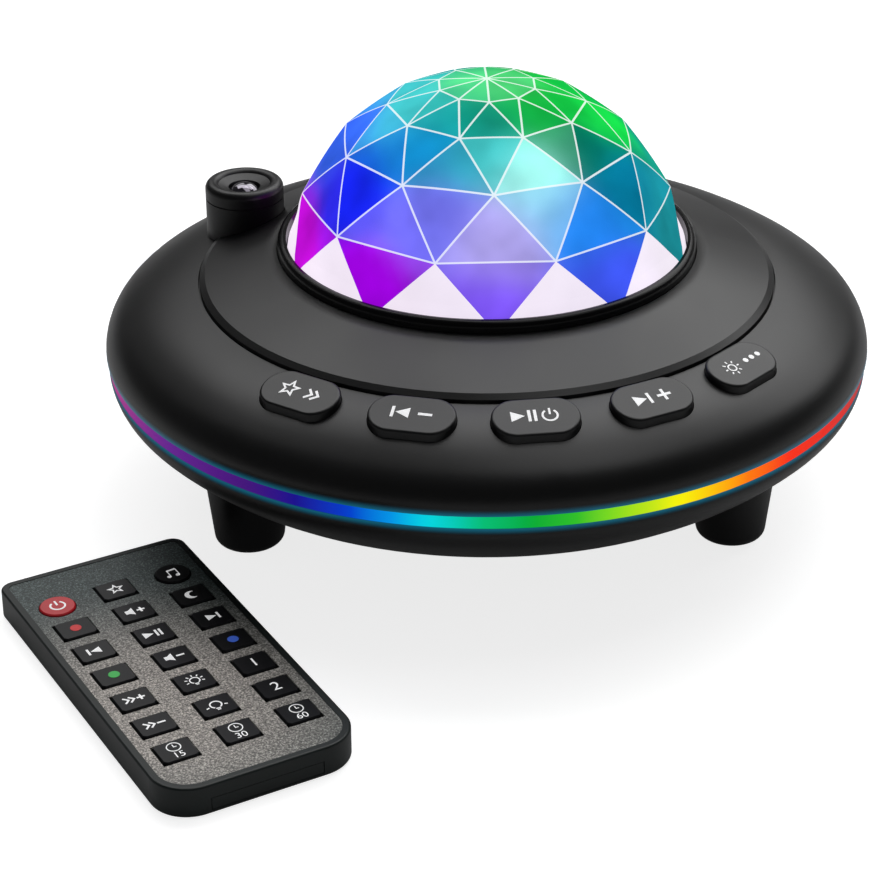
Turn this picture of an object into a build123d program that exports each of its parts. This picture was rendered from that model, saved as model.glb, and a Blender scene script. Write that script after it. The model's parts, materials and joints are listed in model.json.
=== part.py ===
from build123d import *
import math
import os

# Star night light projector: a saucer on three legs with a faceted dome, a small
# laser turret, five front buttons and a light ring, and its card remote control.
# Millimetres. +Z is up, the saucer's axis is Z, the table is Z = 0 and the middle
# button faces -Y. Azimuths are measured from -Y, positive towards +X.

os.makedirs("parts", exist_ok=True)

# ------------------------------------------------------------ driving dimensions
# Heights of the saucer's stack, from the table up
floor_z = 14.5  # underside of the lower shell
belly_h = 18.5  # underside to the light ring
strip_h = 3.0  # light ring
crown_h = 14.0  # light ring to the step
step_h = 1.6  # step to the edge of the centre panel
panel_h = 5.4  # rise of the centre panel
collar_h = 2.5  # collar above the panel

# Saucer shells
saucer_r = 84.0  # upper shell at its lower edge, the widest circle
rim_overhang = 0.4  # upper shell beyond the lower one
crown_w = 20.7  # from the widest circle in to the step
belly_w = 24.0  # from the widest circle in to the flat underside
wall = 2.4  # moulded wall of both shells
crown_round = 8.75  # radius of the upper shell's arc at the rim
crown_sweep = 55.0  # degrees of that arc
belly_round = 8.0  # the same on the lower shell
belly_sweep = 43.0
ledge_t = 2.0  # ledge the panel rests on
ledge_set = 0.8  # its foot inwards from the step
ledge_w = 9.3  # inwards from the step
rib_t = 1.2  # wall behind the light strip
rib_in = 3.2  # inwards from the lower shell's inside

# Centre panel and dome
shadow_gap = 0.35  # groove round the panel
skirt_w = 1.7  # panel's edge, down to the ledge
panel_bevel_w = 1.2  # bevel round the panel's edge
panel_bevel_h = 0.9
dome_r = 44.0  # circle through the dome's corners
dome_drop = 5.8  # dome's centre below the top of the panel
dome_t = 2.0
facet_count = 10  # facets round each row
facet_rows = [24.5, 43.8, 61.0, 76.0]  # latitude of each row of corners, degrees
facet_turn = -23.4  # azimuth of a corner in the first row
collar_w = 1.8  # collar beyond the dome's corners
collar_round = 1.3  # its rounded shoulder
flange_w = 0.8  # dome's flange beyond its corners
flange_t = 1.0
seat_drop = 1.4  # the flange's seat below the top of the panel
seat_w = 5.5
seat_t = 2.2

# Legs
leg_count = 3
leg_overhang = 0.4  # leg's axis beyond the foot's radius
leg_turn = 53.5  # azimuth of the first leg
leg_bottom_r = 7.4
leg_top_r = 9.6
leg_round = 2.2
pad_r = 4.6
pad_out = 0.5  # rubber pad below the leg
pad_t = 1.8
pad_chamfer = 0.3
screw_r = 1.5
screw_head_r = 2.8
screw_head_t = 2.2
screw_clear = 0.7  # round the screw's head
screw_seat_t = 3.0
screw_seat_rise = 3.1  # top of the screw's seat above the shell's floor
screw_grip = 8.0  # screw length inside the post
recess_l = 3.6  # cross recess in the screw's head
recess_w = 0.8
recess_h = 1.1
post_r = 4.0

# Turret with the star laser
turret_clear = 4.4  # between the collar and the turret
turret_turn = -120.0
turret_r = 8.8
turret_wall = 1.8
turret_h = 1.6  # tube above the top of the panel
cap_h = 3.9
cap_rim_r = 1.5  # rounded rim of the dished cap
cap_plug_h = 2.4  # cap inside the tube
cap_shadow = 0.3  # groove between the tube and the cap
lens_r = 3.5
lens_seat_w = 0.8  # ledge that the lens rests on
lens_t = 1.8
lens_dome_h = 1.0
lens_drop = 0.7  # lens below the cap's rim

# Buttons
button_length = 18.0
button_width = 10.0
button_set = 5.7  # button's middle beyond the step
button_pitch = 20.5  # azimuth from one button to the next
button_proud = 1.4  # face above the shell
button_round = 0.6
button_lip = 0.9
button_lip_t = 1.1
lip_clear = 0.5  # lip below the shell's inside
button_travel = 0.5
switch_w = 6.0
switch_body_h = 3.0
plunger_r = 1.7
plunger_h = 0.6
peg_r = 1.8  # pegs that hold the button board
board_edge = 1.0  # board beyond what it carries

# Fits
slide_gap = 0.15  # round a piece that slides or drops in
run_gap = 0.05  # round a shaft that turns
seat_gap = 0.1  # round a piece that stays put

# Inside
board_t = 1.6
deck_t = 2.0
deck_r = 50.0
deck_post_r = 3.5
deck_post_count = 4
deck_post_in = 5.3  # posts' axes in from the deck's edge
shaft_clear = 0.5  # round a motor's shaft in the deck
deck_rib_h = 4.0
deck_rib_t = 1.5
cable_hole_r = 10.0
pcb_clear = 6.1  # main board above the shell's floor
pcb_w = 54.0
pcb_d = 38.0
pcb_y = 47.0
pcb_peg_x = 22.0
pcb_peg_y = 12.0
pcb_peg_r = 2.5
controller_w = 8.0
amplifier_w = 13.0
amplifier_d = 10.0
driver_w = 5.0
driver_d = 4.0
chip_t = 1.4
capacitor_r = 2.5
capacitor_h = 6.0
speaker_r = 20.0
speaker_h = 14.0
speaker_flange_w = 2.0
speaker_throat_r = 12.0
speaker_basket_h = 9.0
speaker_magnet_r = 11.0
speaker_cone_r = 17.4
speaker_cone_h = 4.0
speaker_cap_r = 5.0  # dust cap in the middle of the cone
speaker_cap_h = 5.0
speaker_slots = 7
speaker_slot_w = 2.0
speaker_slot_pitch = 4.4
socket_w = 9.0
socket_h = 3.3
socket_d = 9.0
socket_wall = 0.3
socket_depth = 6.3  # for the plug
socket_tongue_t = 0.7
socket_inset = 5.4  # its mouth inside the lower shell's edge
inlet_clear = 0.5
strip_board_t = 0.3
strip_led_count = 24
strip_led_w = 3.0
strip_led_t = 0.8

# Light engine: heat sink, emitters and the geared ripple disc above them
sink_r = 15.0
sink_h = 6.0
sink_base_t = 2.0
fin_count = 7  # gaps between the fins
fin_pitch = 4.0
fin_gap = 2.2
led_board_t = 1.2
led_count = 4
led_ring_r = 8.0
led_w = 4.0
led_t = 0.8
axle_r = 1.5
hub_r = 3.5
gear_module = 1.2
wheel_teeth = 48
pinion_teeth = 10
tooth_thinning = 0.3  # backlash taken off each tooth
wheel_rise = 4.6  # wheel above the emitters' board
wheel_t = 2.2
wheel_web_t = 0.8
wheel_rim = 3.5  # rim inside the pitch circle
wheel_clear = 2.6  # below the dome's seat
pinion_azimuth = 110.0
shaft_r = 1.0
motor_h = 14.0
shaft_h = 5.5  # shaft inside its motor
ripple_motor_r = 6.0

# Star projector under the turret
laser_r = 3.5
laser_h = 14.0
laser_rise = 4.0  # laser above the deck's underside
laser_mouth_h = 1.4
clamp_t = 1.3
clamp_h = 5.0
star_offset = 10.0  # from the laser's axis in to the star disc's axis
star_disc_t = 0.8
star_disc_rise = 6.2
star_hub_r = 2.6
star_motor_r = 5.0

# Remote control
remote_l = 86.0
remote_w = 41.0
remote_h = 6.6
remote_back_h = 3.6  # back case
remote_floor_t = 1.0
remote_wall = 1.3
remote_rim = 1.6
remote_deck_t = 0.8  # front case under the face plate
remote_back_round = 0.8
remote_front_round = 0.5
plate_t = 0.3
plate_drop = 0.4  # recess for the face plate
remote_top_round = 3.0
remote_bottom_round = 8.0
remote_away = 23.7  # its middle beyond the saucer's widest circle
remote_azimuth = -43.3
remote_turn = 21.9
key_rows = 7
key_columns = 3
key_pitch_x = 12.8
key_pitch_y = 9.8
key_first = 14.2  # first row below the top end
key_w = 7.4
key_l = 6.6
key_corner = 0.7
key_bevel = 0.25
key_proud = 0.3
key_gap = 0.2
key_lip = 0.6
key_lip_t = 0.4
key_travel = 0.4
remote_board_t = 0.6
cell_r = 10.0
cell_t = 2.4
cell_set = 0.4  # cell's middle above the tray's
tray_w = 23.0
tray_d = 24.5
sender_w = 4.2  # infra-red emitter
sender_l = 4.4

# ------------------------------------------------------------ derived sizes
strip_z = floor_z + belly_h
rim_top_z = strip_z + strip_h
step_z = rim_top_z + crown_h
panel_edge_z = step_z + step_h
panel_top_z = panel_edge_z + panel_h
collar_top_z = panel_top_z + collar_h
turret_z = panel_top_z + turret_h
cap_z = turret_z + cap_h
floor_in_z = floor_z + wall
ledge_z = panel_edge_z - wall
ledge_under_z = ledge_z - ledge_t
seat_z = panel_top_z - seat_drop
seat_under_z = seat_z - seat_t
dome_centre_z = panel_top_z - dome_drop
screw_seat_z = floor_in_z + screw_seat_rise
pcb_z = floor_in_z + pcb_clear
wheel_z = seat_under_z - wheel_clear - wheel_t
led_board_z = wheel_z - wheel_rise
deck_top_z = led_board_z - sink_h
deck_z = deck_top_z - deck_t
star_disc_z = deck_z + star_disc_rise
star_disc_r = star_offset + laser_r + seat_gap

step_r = saucer_r - crown_w
foot_r = saucer_r - belly_w
lower_r = saucer_r - rim_overhang
rib_r = lower_r - wall - rib_in
panel_r = step_r - shadow_gap
collar_r = dome_r + collar_w
flange_r = dome_r + flange_w
seat_r = collar_r + 2 * seat_gap
seat_in_r = seat_r - seat_w
turret_ring_r = collar_r + turret_clear + turret_r
turret_bore_r = turret_r - turret_wall
ledge_in_r = min(step_r - ledge_w, turret_ring_r - turret_r / 2)
button_ring_r = step_r + button_set
wheel_pitch_r = gear_module * wheel_teeth / 2
pinion_distance = gear_module * (wheel_teeth + pinion_teeth) / 2
deck_rib_r = pinion_distance + ripple_motor_r + board_edge
socket_mouth_y = lower_r - socket_inset
socket_z = pcb_z + board_t + socket_h / 2


def ring_point(radius, azimuth, z=0.0):
    """Point at a radius and azimuth round the saucer."""
    angle = math.radians(azimuth)
    return (radius * math.sin(angle), -radius * math.cos(angle), z)


def ring_plane(radius, azimuth, z):
    """Level plane at that point, with its X along the circle."""
    angle = math.radians(azimuth)
    return Plane(ring_point(radius, azimuth, z), (math.cos(angle), math.sin(angle), 0), (0, 0, 1))


def level_plane(point, z):
    """Level plane over a point, with its X along the model's X."""
    return Plane((point[0], point[1], z))


def shell_arcs(rim, rim_round, rim_sweep, end):
    """A shell's tight arc at the rim meets its wide arc at join; centre and wide_r are the wide arc's."""
    sweep = math.radians(rim_sweep)
    out_r = math.cos(sweep)
    out_z = math.copysign(math.sin(sweep), end[1] - rim[1])
    join = (rim[0] - rim_round + rim_round * out_r, rim[1] + rim_round * out_z)
    chord = (end[0] - join[0], end[1] - join[1])
    wide_r = -(chord[0] ** 2 + chord[1] ** 2) / (chord[0] * out_r + chord[1] * out_z) / 2
    centre = (join[0] - wide_r * out_r, join[1] - wide_r * out_z)
    return join, centre, wide_r


def shell_curve(rim, rim_round, rim_sweep, end):
    """Draw that curve, from the rim to its end on the wide arc."""
    join, centre, wide_r = shell_arcs(rim, rim_round, rim_sweep, end)
    side = math.copysign(1, end[1] - rim[1])
    half = math.radians(rim_sweep / 2)
    middle = (rim[0] - rim_round + rim_round * math.cos(half), rim[1] + side * rim_round * math.sin(half))
    ThreePointArc(rim, middle, join)
    TangentArc(join, end, tangent=(side * (centre[1] - join[1]), side * (join[0] - centre[0])))


def shell_height(curve, radius):
    """Height of a shell's wide arc at a radius."""
    join, centre, wide_r = shell_arcs(*curve)
    rise = math.sqrt(wide_r**2 - (radius - centre[0]) ** 2)
    return centre[1] + math.copysign(rise, join[1] - centre[1])


def gear_outline(teeth, phase):
    """Corners of a straight-sided gear, one tooth centred on the phase angle."""
    pitch_r = gear_module * teeth / 2
    pitch_angle = math.pi / teeth / 2
    thin = tooth_thinning / pitch_r / 2
    flank = gear_module * 0.8
    lean = flank * math.tan(math.radians(20)) / pitch_r
    corners = []
    for tooth in range(teeth):
        middle = phase + tooth * 2 * math.pi / teeth
        half = pitch_angle - thin
        sides = [
            (pitch_r - 1.25 * flank, -half - 1.25 * lean),
            (pitch_r + flank, -half + lean),
            (pitch_r + flank, half - lean),
            (pitch_r - 1.25 * flank, half + 1.25 * lean),
        ]
        corners += [(r * math.cos(middle + a), r * math.sin(middle + a)) for r, a in sides]
    return corners


leg_azimuths = [leg_turn + 360 / leg_count * i for i in range(leg_count)]
leg_points = [ring_point(foot_r + leg_overhang, azimuth) for azimuth in leg_azimuths]
turret_point = ring_point(turret_ring_r, turret_turn)
star_point = ring_point(turret_ring_r - star_offset, turret_turn)
pinion_point = ring_point(pinion_distance, pinion_azimuth)
pcb_pegs = [(x, pcb_y - 1 + y) for x in (-pcb_peg_x, pcb_peg_x) for y in (-pcb_peg_y, pcb_peg_y)]

# The shells' curves, each from the rim inwards
ledge_foot = (step_r - ledge_set, ledge_under_z)
crown_outside = ((saucer_r, rim_top_z), crown_round, crown_sweep, (step_r, step_z))
crown_inside = ((saucer_r - wall, rim_top_z), crown_round - wall, crown_sweep, ledge_foot)
belly_outside = ((lower_r, strip_z), belly_round, belly_sweep, (foot_r, floor_z))
belly_inside = ((lower_r - wall, strip_z), belly_round - wall, belly_sweep, (foot_r - wall / 4, floor_in_z))

# The buttons' faces stand parallel to the shell, and their lips clear its inside
button_azimuths = [button_pitch * i for i in (-2, -1, 0, 1, 2)]
peg_azimuths = [button_pitch * i for i in (-1.5, -0.5, 0.5, 1.5)]
button_z = shell_height(crown_outside, button_ring_r) + button_proud
button_fall = shell_height(crown_outside, button_ring_r - 1) - shell_height(crown_outside, button_ring_r + 1)
button_tilt = math.atan2(button_fall, 2)
lip_in_r = button_ring_r - button_width / 2 - button_lip
lip_out_r = button_ring_r + button_width / 2 + button_lip
lip_top_z = min(shell_height(crown_inside, lip_in_r), shell_height(crown_inside, lip_out_r)) - lip_clear
button_foot_z = lip_top_z - button_lip_t
switch_top_z = button_foot_z - button_travel - run_gap
button_board_z = switch_top_z - plunger_h - switch_body_h
peg_ring_r = lip_in_r - board_edge / 2 - peg_r

# ------------------------------------------------------------ upper shell
with BuildPart() as upper_shell:
    with BuildSketch(Plane.XZ):
        with BuildLine():
            shell_curve(*crown_outside)
            shell_curve(*crown_inside)
            Line((saucer_r, rim_top_z), (saucer_r - wall, rim_top_z))
            Polyline(
                ledge_foot,
                (ledge_in_r, ledge_under_z),
                (ledge_in_r, ledge_z),
                (step_r, ledge_z),
                (step_r, step_z),
            )
        make_face()
    revolve(axis=Axis.Z)
    # laser turret's tube
    tube_foot_z = min(ledge_z, shell_height(crown_outside, turret_ring_r + turret_r)) - wall / 2
    with BuildSketch(Plane.XY.offset(tube_foot_z)):
        with Locations(turret_point):
            Circle(turret_r)
    extrude(amount=turret_z - tube_foot_z)
    with BuildSketch(Plane.XY.offset(rim_top_z)):
        with Locations(turret_point):
            Circle(turret_bore_r)
    extrude(amount=turret_z - rim_top_z, mode=Mode.SUBTRACT)
    # room for the star disc
    with BuildSketch(Plane.XY.offset(star_disc_z)):
        with Locations(star_point):
            Circle(star_disc_r + slide_gap)
    extrude(amount=star_hub_r + slide_gap, both=True, mode=Mode.SUBTRACT)
    # posts that take the screws from the legs
    with BuildSketch(Plane.XY.offset(screw_seat_z)):
        with Locations(*leg_points):
            Circle(post_r)
    extrude(amount=ledge_under_z + ledge_t / 2 - screw_seat_z)
    with BuildSketch(Plane.XY.offset(screw_seat_z)):
        with Locations(*leg_points):
            Circle(screw_r + run_gap)
    extrude(amount=screw_grip + 2 * screw_r, mode=Mode.SUBTRACT)
    # button openings
    for azimuth in button_azimuths:
        with BuildSketch(ring_plane(button_ring_r, azimuth, rim_top_z)):
            SlotOverall(button_length + 2 * slide_gap, button_width + 2 * slide_gap)
        extrude(amount=panel_top_z - rim_top_z, mode=Mode.SUBTRACT)
    # pegs that hold the button board
    for azimuth in peg_azimuths:
        with BuildSketch(ring_plane(peg_ring_r, azimuth, button_board_z)):
            Circle(peg_r)
        extrude(amount=ledge_under_z + ledge_t / 2 - button_board_z)
upper_shell.part.label = "upper_shell"
export_step(upper_shell.part, "parts/upper_shell.step")

# ------------------------------------------------------------ lower shell and legs
with BuildPart() as lower_shell:
    with BuildSketch(Plane.XZ):
        with BuildLine():
            shell_curve(*belly_outside)
            shell_curve(*belly_inside)
            Line((lower_r, strip_z), (lower_r - wall, strip_z))
            Polyline(belly_outside[-1], (0, floor_z), (0, floor_in_z), belly_inside[-1])
        make_face()
    revolve(axis=Axis.Z)
    # wall behind the light strip
    with BuildSketch(Plane.XZ):
        with BuildLine():
            Polyline(
                (rib_r, shell_height(belly_inside, rib_r) - wall / 2),
                (rib_r + rib_t, shell_height(belly_inside, rib_r + rib_t) - wall / 2),
                (rib_r + rib_t, rim_top_z + seat_gap),
                (rib_r, rim_top_z + seat_gap),
                close=True,
            )
        make_face()
    revolve(axis=Axis.Z)
    # tapered legs, which reach inside as screw seats
    leg_h = screw_seat_z - pad_out
    with Locations([(x, y, pad_out) for x, y, z in leg_points]):
        Cone(leg_bottom_r, leg_top_r, leg_h, align=(Align.CENTER, Align.CENTER, Align.MIN))
    fillet(lower_shell.edges().group_by(Axis.Z)[0], leg_round)
    with BuildSketch(Plane.XY.offset(pad_out)):
        with Locations(*leg_points):
            Circle(pad_r + slide_gap)
    extrude(amount=pad_t - pad_out, mode=Mode.SUBTRACT)
    with BuildSketch(Plane.XY.offset(pad_out)):
        with Locations(*leg_points):
            Circle(screw_head_r + screw_clear)
    extrude(amount=screw_seat_z - screw_seat_t - pad_out, mode=Mode.SUBTRACT)
    with BuildSketch(Plane.XY.offset(pad_out)):
        with Locations(*leg_points):
            Circle(screw_r + slide_gap)
    extrude(amount=screw_seat_z - pad_out, mode=Mode.SUBTRACT)
    # speaker grille and the rim that centres the speaker
    with BuildSketch(Plane.XY.offset(floor_z)):
        for row in range(speaker_slots):
            slot_y = (row - speaker_slots // 2) * speaker_slot_pitch
            with Locations((0, slot_y)):
                SlotOverall(2 * math.sqrt((speaker_r - wall) ** 2 - slot_y**2), speaker_slot_w)
    extrude(amount=wall, mode=Mode.SUBTRACT)
    with BuildSketch(Plane.XY.offset(floor_in_z)):
        Circle(speaker_r + slide_gap + rib_t)
        Circle(speaker_r + slide_gap, mode=Mode.SUBTRACT)
    extrude(amount=wall)
    # standoffs for the main board
    with BuildSketch(Plane.XY.offset(floor_in_z)):
        with Locations(*pcb_pegs):
            Circle(pcb_peg_r)
    extrude(amount=pcb_clear)
    # power inlet at the back
    with BuildSketch(Plane.XZ.offset(socket_d - socket_mouth_y)):
        with Locations((0, socket_z)):
            SlotOverall(socket_w + 2 * inlet_clear, socket_h + 2 * inlet_clear)
    extrude(amount=-socket_d - socket_inset - wall, mode=Mode.SUBTRACT)
lower_shell.part.label = "lower_shell"
export_step(lower_shell.part, "parts/lower_shell.step")

with BuildPart() as foot_pads:
    with BuildSketch(Plane.XY):
        with Locations(*leg_points):
            Circle(pad_r)
    extrude(amount=pad_t)
    chamfer(foot_pads.edges().group_by(Axis.Z)[0], pad_chamfer)
foot_pads.part.label = "foot_pads"
export_step(foot_pads.part, "parts/foot_pads.step")

with BuildPart() as shell_screws:
    screw_under_z = screw_seat_z - screw_seat_t
    with BuildSketch(Plane.XY.offset(screw_under_z - screw_head_t)):
        with Locations(*leg_points):
            Circle(screw_head_r)
    extrude(amount=screw_head_t)
    with BuildSketch(Plane.XY.offset(screw_under_z)):
        with Locations(*leg_points):
            Circle(screw_r)
    extrude(amount=screw_seat_t + screw_grip)
    # cross recess
    with BuildSketch(Plane.XY.offset(screw_under_z - screw_head_t)):
        with Locations(*leg_points):
            Rectangle(recess_l, recess_w)
            Rectangle(recess_w, recess_l)
    extrude(amount=recess_h, mode=Mode.SUBTRACT)
shell_screws.part.label = "shell_screws"
export_step(shell_screws.part, "parts/shell_screws.step")

# ------------------------------------------------------------ light ring and its strip
with BuildPart() as light_ring:
    with BuildSketch(Plane.XY.offset(strip_z)):
        Circle(lower_r - seat_gap)
        Circle(lower_r - wall, mode=Mode.SUBTRACT)
    extrude(amount=strip_h)
light_ring.part.label = "light_ring"
export_step(light_ring.part, "parts/light_ring.step")

with BuildPart() as light_strip:
    strip_in_r = rib_r + rib_t + seat_gap
    strip_edge = (rib_in - rib_t) / 5
    with BuildSketch(Plane.XY.offset(strip_z - strip_edge)):
        Circle(strip_in_r + strip_board_t)
        Circle(strip_in_r, mode=Mode.SUBTRACT)
    extrude(amount=strip_h + 2 * strip_edge - seat_gap)
    # light-emitting diodes
    with BuildSketch(Plane.XY.offset(strip_z + strip_h / 6)):
        with PolarLocations(strip_in_r + strip_board_t + strip_led_t / 2 - seat_gap, strip_led_count):
            Rectangle(strip_led_t, strip_led_w)
    extrude(amount=strip_h * 2 / 3)
light_strip.part.label = "light_strip"
export_step(light_strip.part, "parts/light_strip.step")

# ------------------------------------------------------------ centre panel, collar and dome
with BuildPart() as centre_panel:
    bevel_r = panel_r - panel_bevel_w
    slope = panel_h / (bevel_r - seat_r)
    under_drop = wall * math.sqrt(1 + slope**2)
    under_in_r = seat_r + (seat_drop + seat_t - under_drop) / slope
    skirt_in_r = panel_r - skirt_w
    skirt_in_z = panel_top_z - slope * (skirt_in_r - seat_r) - under_drop
    with BuildSketch(Plane.XZ):
        with BuildLine():
            Polyline(
                (panel_r, ledge_z),
                (panel_r, panel_edge_z - panel_bevel_h),
                (bevel_r, panel_edge_z),
                (seat_r, panel_top_z),
                (seat_r, seat_z),
                (seat_in_r, seat_z),
                (seat_in_r, seat_under_z),
                (under_in_r, seat_under_z),
                (skirt_in_r, skirt_in_z),
                (skirt_in_r, ledge_z),
                close=True,
            )
        make_face()
    revolve(axis=Axis.Z)
    with BuildSketch(Plane.XY.offset(ledge_z)):
        with Locations(turret_point):
            Circle(turret_r + slide_gap)
    extrude(amount=panel_top_z - ledge_z, mode=Mode.SUBTRACT)
centre_panel.part.label = "centre_panel"
export_step(centre_panel.part, "parts/centre_panel.step")

with BuildPart() as dome_ring:
    ring_in_r = dome_r - slide_gap
    shoulder_z = collar_top_z - collar_round - seat_gap
    with BuildSketch(Plane.XZ):
        with BuildLine():
            Polyline((flange_r + slide_gap, seat_z), (collar_r, seat_z), (collar_r, shoulder_z))
            TangentArc((collar_r, shoulder_z), (collar_r - collar_round, collar_top_z), tangent=(0, 1))
            Polyline(
                (collar_r - collar_round, collar_top_z),
                (ring_in_r, collar_top_z - seat_gap),
                (ring_in_r, seat_z + flange_t + seat_gap),
                (flange_r + slide_gap, seat_z + flange_t + seat_gap),
                (flange_r + slide_gap, seat_z),
            )
        make_face()
    revolve(axis=Axis.Z)
dome_ring.part.label = "dome_ring"
export_step(dome_ring.part, "parts/dome_ring.step")


def dome_corners(radius):
    """Corners of the faceted dome on a sphere: each row is half a facet round from the last."""
    hidden_row = math.degrees(math.asin((seat_z + flange_t / 2 - dome_centre_z) / dome_r))
    corners = [(0, 0, dome_centre_z + radius)]
    for row, latitude in enumerate([hidden_row] + facet_rows):
        turn = facet_turn + (row + 1) * 180 / facet_count
        level = radius * math.cos(math.radians(latitude))
        height = dome_centre_z + radius * math.sin(math.radians(latitude))
        corners += [ring_point(level, turn + 360 / facet_count * i, height) for i in range(facet_count)]
    return corners


with BuildPart() as dome:
    ConvexPolyhedron(dome_corners(dome_r))
    with BuildSketch(Plane.XY.offset(seat_z)):
        Circle(flange_r)
    extrude(amount=flange_t)
    # round band inside the collar, which the facets run into
    with BuildSketch(Plane.XY.offset(seat_z)):
        Circle(dome_r - 2 * slide_gap)
    extrude(amount=collar_top_z - 2 * slide_gap - seat_z)
    ConvexPolyhedron(dome_corners(dome_r - dome_t), mode=Mode.SUBTRACT)
    with BuildSketch(Plane.XY.offset(seat_z)):
        Circle((dome_r - dome_t) * math.cos(math.pi / facet_count) - flange_t / 2)
    extrude(amount=flange_t, mode=Mode.SUBTRACT)
dome.part.label = "dome"
export_step(dome.part, "parts/dome.step")

# ------------------------------------------------------------ turret cap and lens
lens_z = cap_z - lens_drop - lens_t
with BuildPart() as turret_cap:
    dish_r = turret_r - 2 * cap_rim_r
    dish_z = cap_z - cap_rim_r / 2
    cap_foot_r = turret_r - cap_shadow
    plug_r = turret_bore_r - seat_gap
    window_r = lens_r - lens_seat_w
    with BuildSketch(Plane.XZ):
        with BuildLine():
            Polyline(
                (dish_r, dish_z),
                (lens_r + seat_gap, lens_z + lens_dome_h),
                (lens_r + seat_gap, lens_z),
                (window_r, lens_z),
                (window_r, turret_z - cap_plug_h),
                (plug_r, turret_z - cap_plug_h),
                (plug_r, turret_z),
                (cap_foot_r, turret_z),
                (cap_foot_r, turret_z + cap_shadow),
                (turret_r, turret_z + cap_shadow),
                (turret_r, cap_z - cap_rim_r),
            )
            ThreePointArc((turret_r, cap_z - cap_rim_r), (turret_r - cap_rim_r, cap_z), (dish_r, dish_z))
        make_face()
    revolve(axis=Axis.Z)
turret_cap.part.locate(Location(turret_point))
turret_cap.part.label = "turret_cap"
export_step(turret_cap.part, "parts/turret_cap.step")

with BuildPart() as star_lens:
    lens_edge_z = lens_z + lens_t - lens_dome_h
    with BuildSketch(Plane.XZ):
        with BuildLine():
            Polyline((0, lens_z + lens_t), (0, lens_z), (lens_r, lens_z), (lens_r, lens_edge_z))
            TangentArc((0, lens_z + lens_t), (lens_r, lens_edge_z), tangent=(1, 0))
        make_face()
    revolve(axis=Axis.Z)
star_lens.part.locate(Location(turret_point))
star_lens.part.label = "star_lens"
export_step(star_lens.part, "parts/star_lens.step")

# ------------------------------------------------------------ buttons
button_names = ["button_star_speed", "button_previous", "button_play", "button_next", "button_led_mode"]
for name, azimuth in zip(button_names, button_azimuths):
    outward = ring_point(math.sin(button_tilt), azimuth)
    face_plane = Plane(
        ring_point(button_ring_r, azimuth, button_z), z_dir=(outward[0], outward[1], math.cos(button_tilt)))
    with BuildPart() as button:
        with BuildSketch(ring_plane(button_ring_r, azimuth, button_foot_z)):
            SlotOverall(button_length, button_width)
        extrude(amount=cap_z - button_foot_z)
        split(bisect_by=face_plane, keep=Keep.BOTTOM)
        fillet(button.faces().sort_by(Axis.Z)[-1].edges(), button_round)
        with BuildSketch(ring_plane(button_ring_r, azimuth, button_foot_z)):
            SlotOverall(button_length + 2 * button_lip, button_width + 2 * button_lip)
        extrude(amount=button_lip_t)
    button.part.label = name
    export_step(button.part, f"parts/{name}.step")

with BuildPart() as button_board:
    board_half_sweep = 2 * button_pitch + math.degrees(switch_w / button_ring_r)
    board_in_r = peg_ring_r - peg_r - board_edge
    board_out_r = min(lip_out_r + 2 * board_edge, rib_r - board_edge)
    reach = 3 * saucer_r
    with BuildSketch(Plane.XY.offset(button_board_z - board_t)):
        Circle(board_out_r)
        Circle(board_in_r, mode=Mode.SUBTRACT)
        with BuildLine():
            Polyline(
                (0, 0),
                ring_point(reach, -board_half_sweep)[:2],
                (0, -reach),
                ring_point(reach, board_half_sweep)[:2],
                close=True,
            )
        make_face(mode=Mode.INTERSECT)
        with Locations(*leg_points):
            Circle(post_r + board_edge, mode=Mode.SUBTRACT)
    extrude(amount=board_t)
    for azimuth in button_azimuths:
        with BuildSketch(ring_plane(button_ring_r, azimuth, button_board_z)):
            Rectangle(switch_w, switch_w)
        extrude(amount=switch_body_h)
        with BuildSketch(ring_plane(button_ring_r, azimuth, button_board_z + switch_body_h)):
            Circle(plunger_r)
        extrude(amount=plunger_h)
button_board.part.label = "button_board"
export_step(button_board.part, "parts/button_board.step")

# ------------------------------------------------------------ inner deck
with BuildPart() as deck:
    arm_middle = ring_point(turret_ring_r / 2, turret_turn)
    with BuildSketch(Plane.XY.offset(deck_z)):
        Circle(deck_r)
        SlotCenterPoint(arm_middle[:2], turret_point[:2], 2 * (laser_r + clamp_t + deck_t))
        Circle(cable_hole_r, mode=Mode.SUBTRACT)
        with Locations(turret_point):
            Circle(laser_r + run_gap, mode=Mode.SUBTRACT)
        with Locations(star_point, pinion_point):
            Circle(shaft_r + shaft_clear, mode=Mode.SUBTRACT)
    extrude(amount=deck_t)
    # clamp round the laser module
    with BuildSketch(Plane.XY.offset(deck_z - clamp_h)):
        with Locations(turret_point):
            Circle(laser_r + clamp_t)
            Circle(laser_r + run_gap, mode=Mode.SUBTRACT)
    extrude(amount=clamp_h)
    # posts and stiffening rib
    with BuildSketch(Plane.XY.offset(floor_in_z)):
        with PolarLocations(deck_r - deck_post_in, deck_post_count, start_angle=180 / deck_post_count):
            Circle(deck_post_r)
    extrude(amount=deck_z - floor_in_z)
    with BuildSketch(Plane.XY.offset(deck_z - deck_rib_h)):
        Circle(deck_rib_r + deck_rib_t)
        Circle(deck_rib_r, mode=Mode.SUBTRACT)
        with Locations(star_point):
            Circle(star_motor_r + board_edge, mode=Mode.SUBTRACT)
    extrude(amount=deck_rib_h)
deck.part.label = "deck"
export_step(deck.part, "parts/deck.step")

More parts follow.
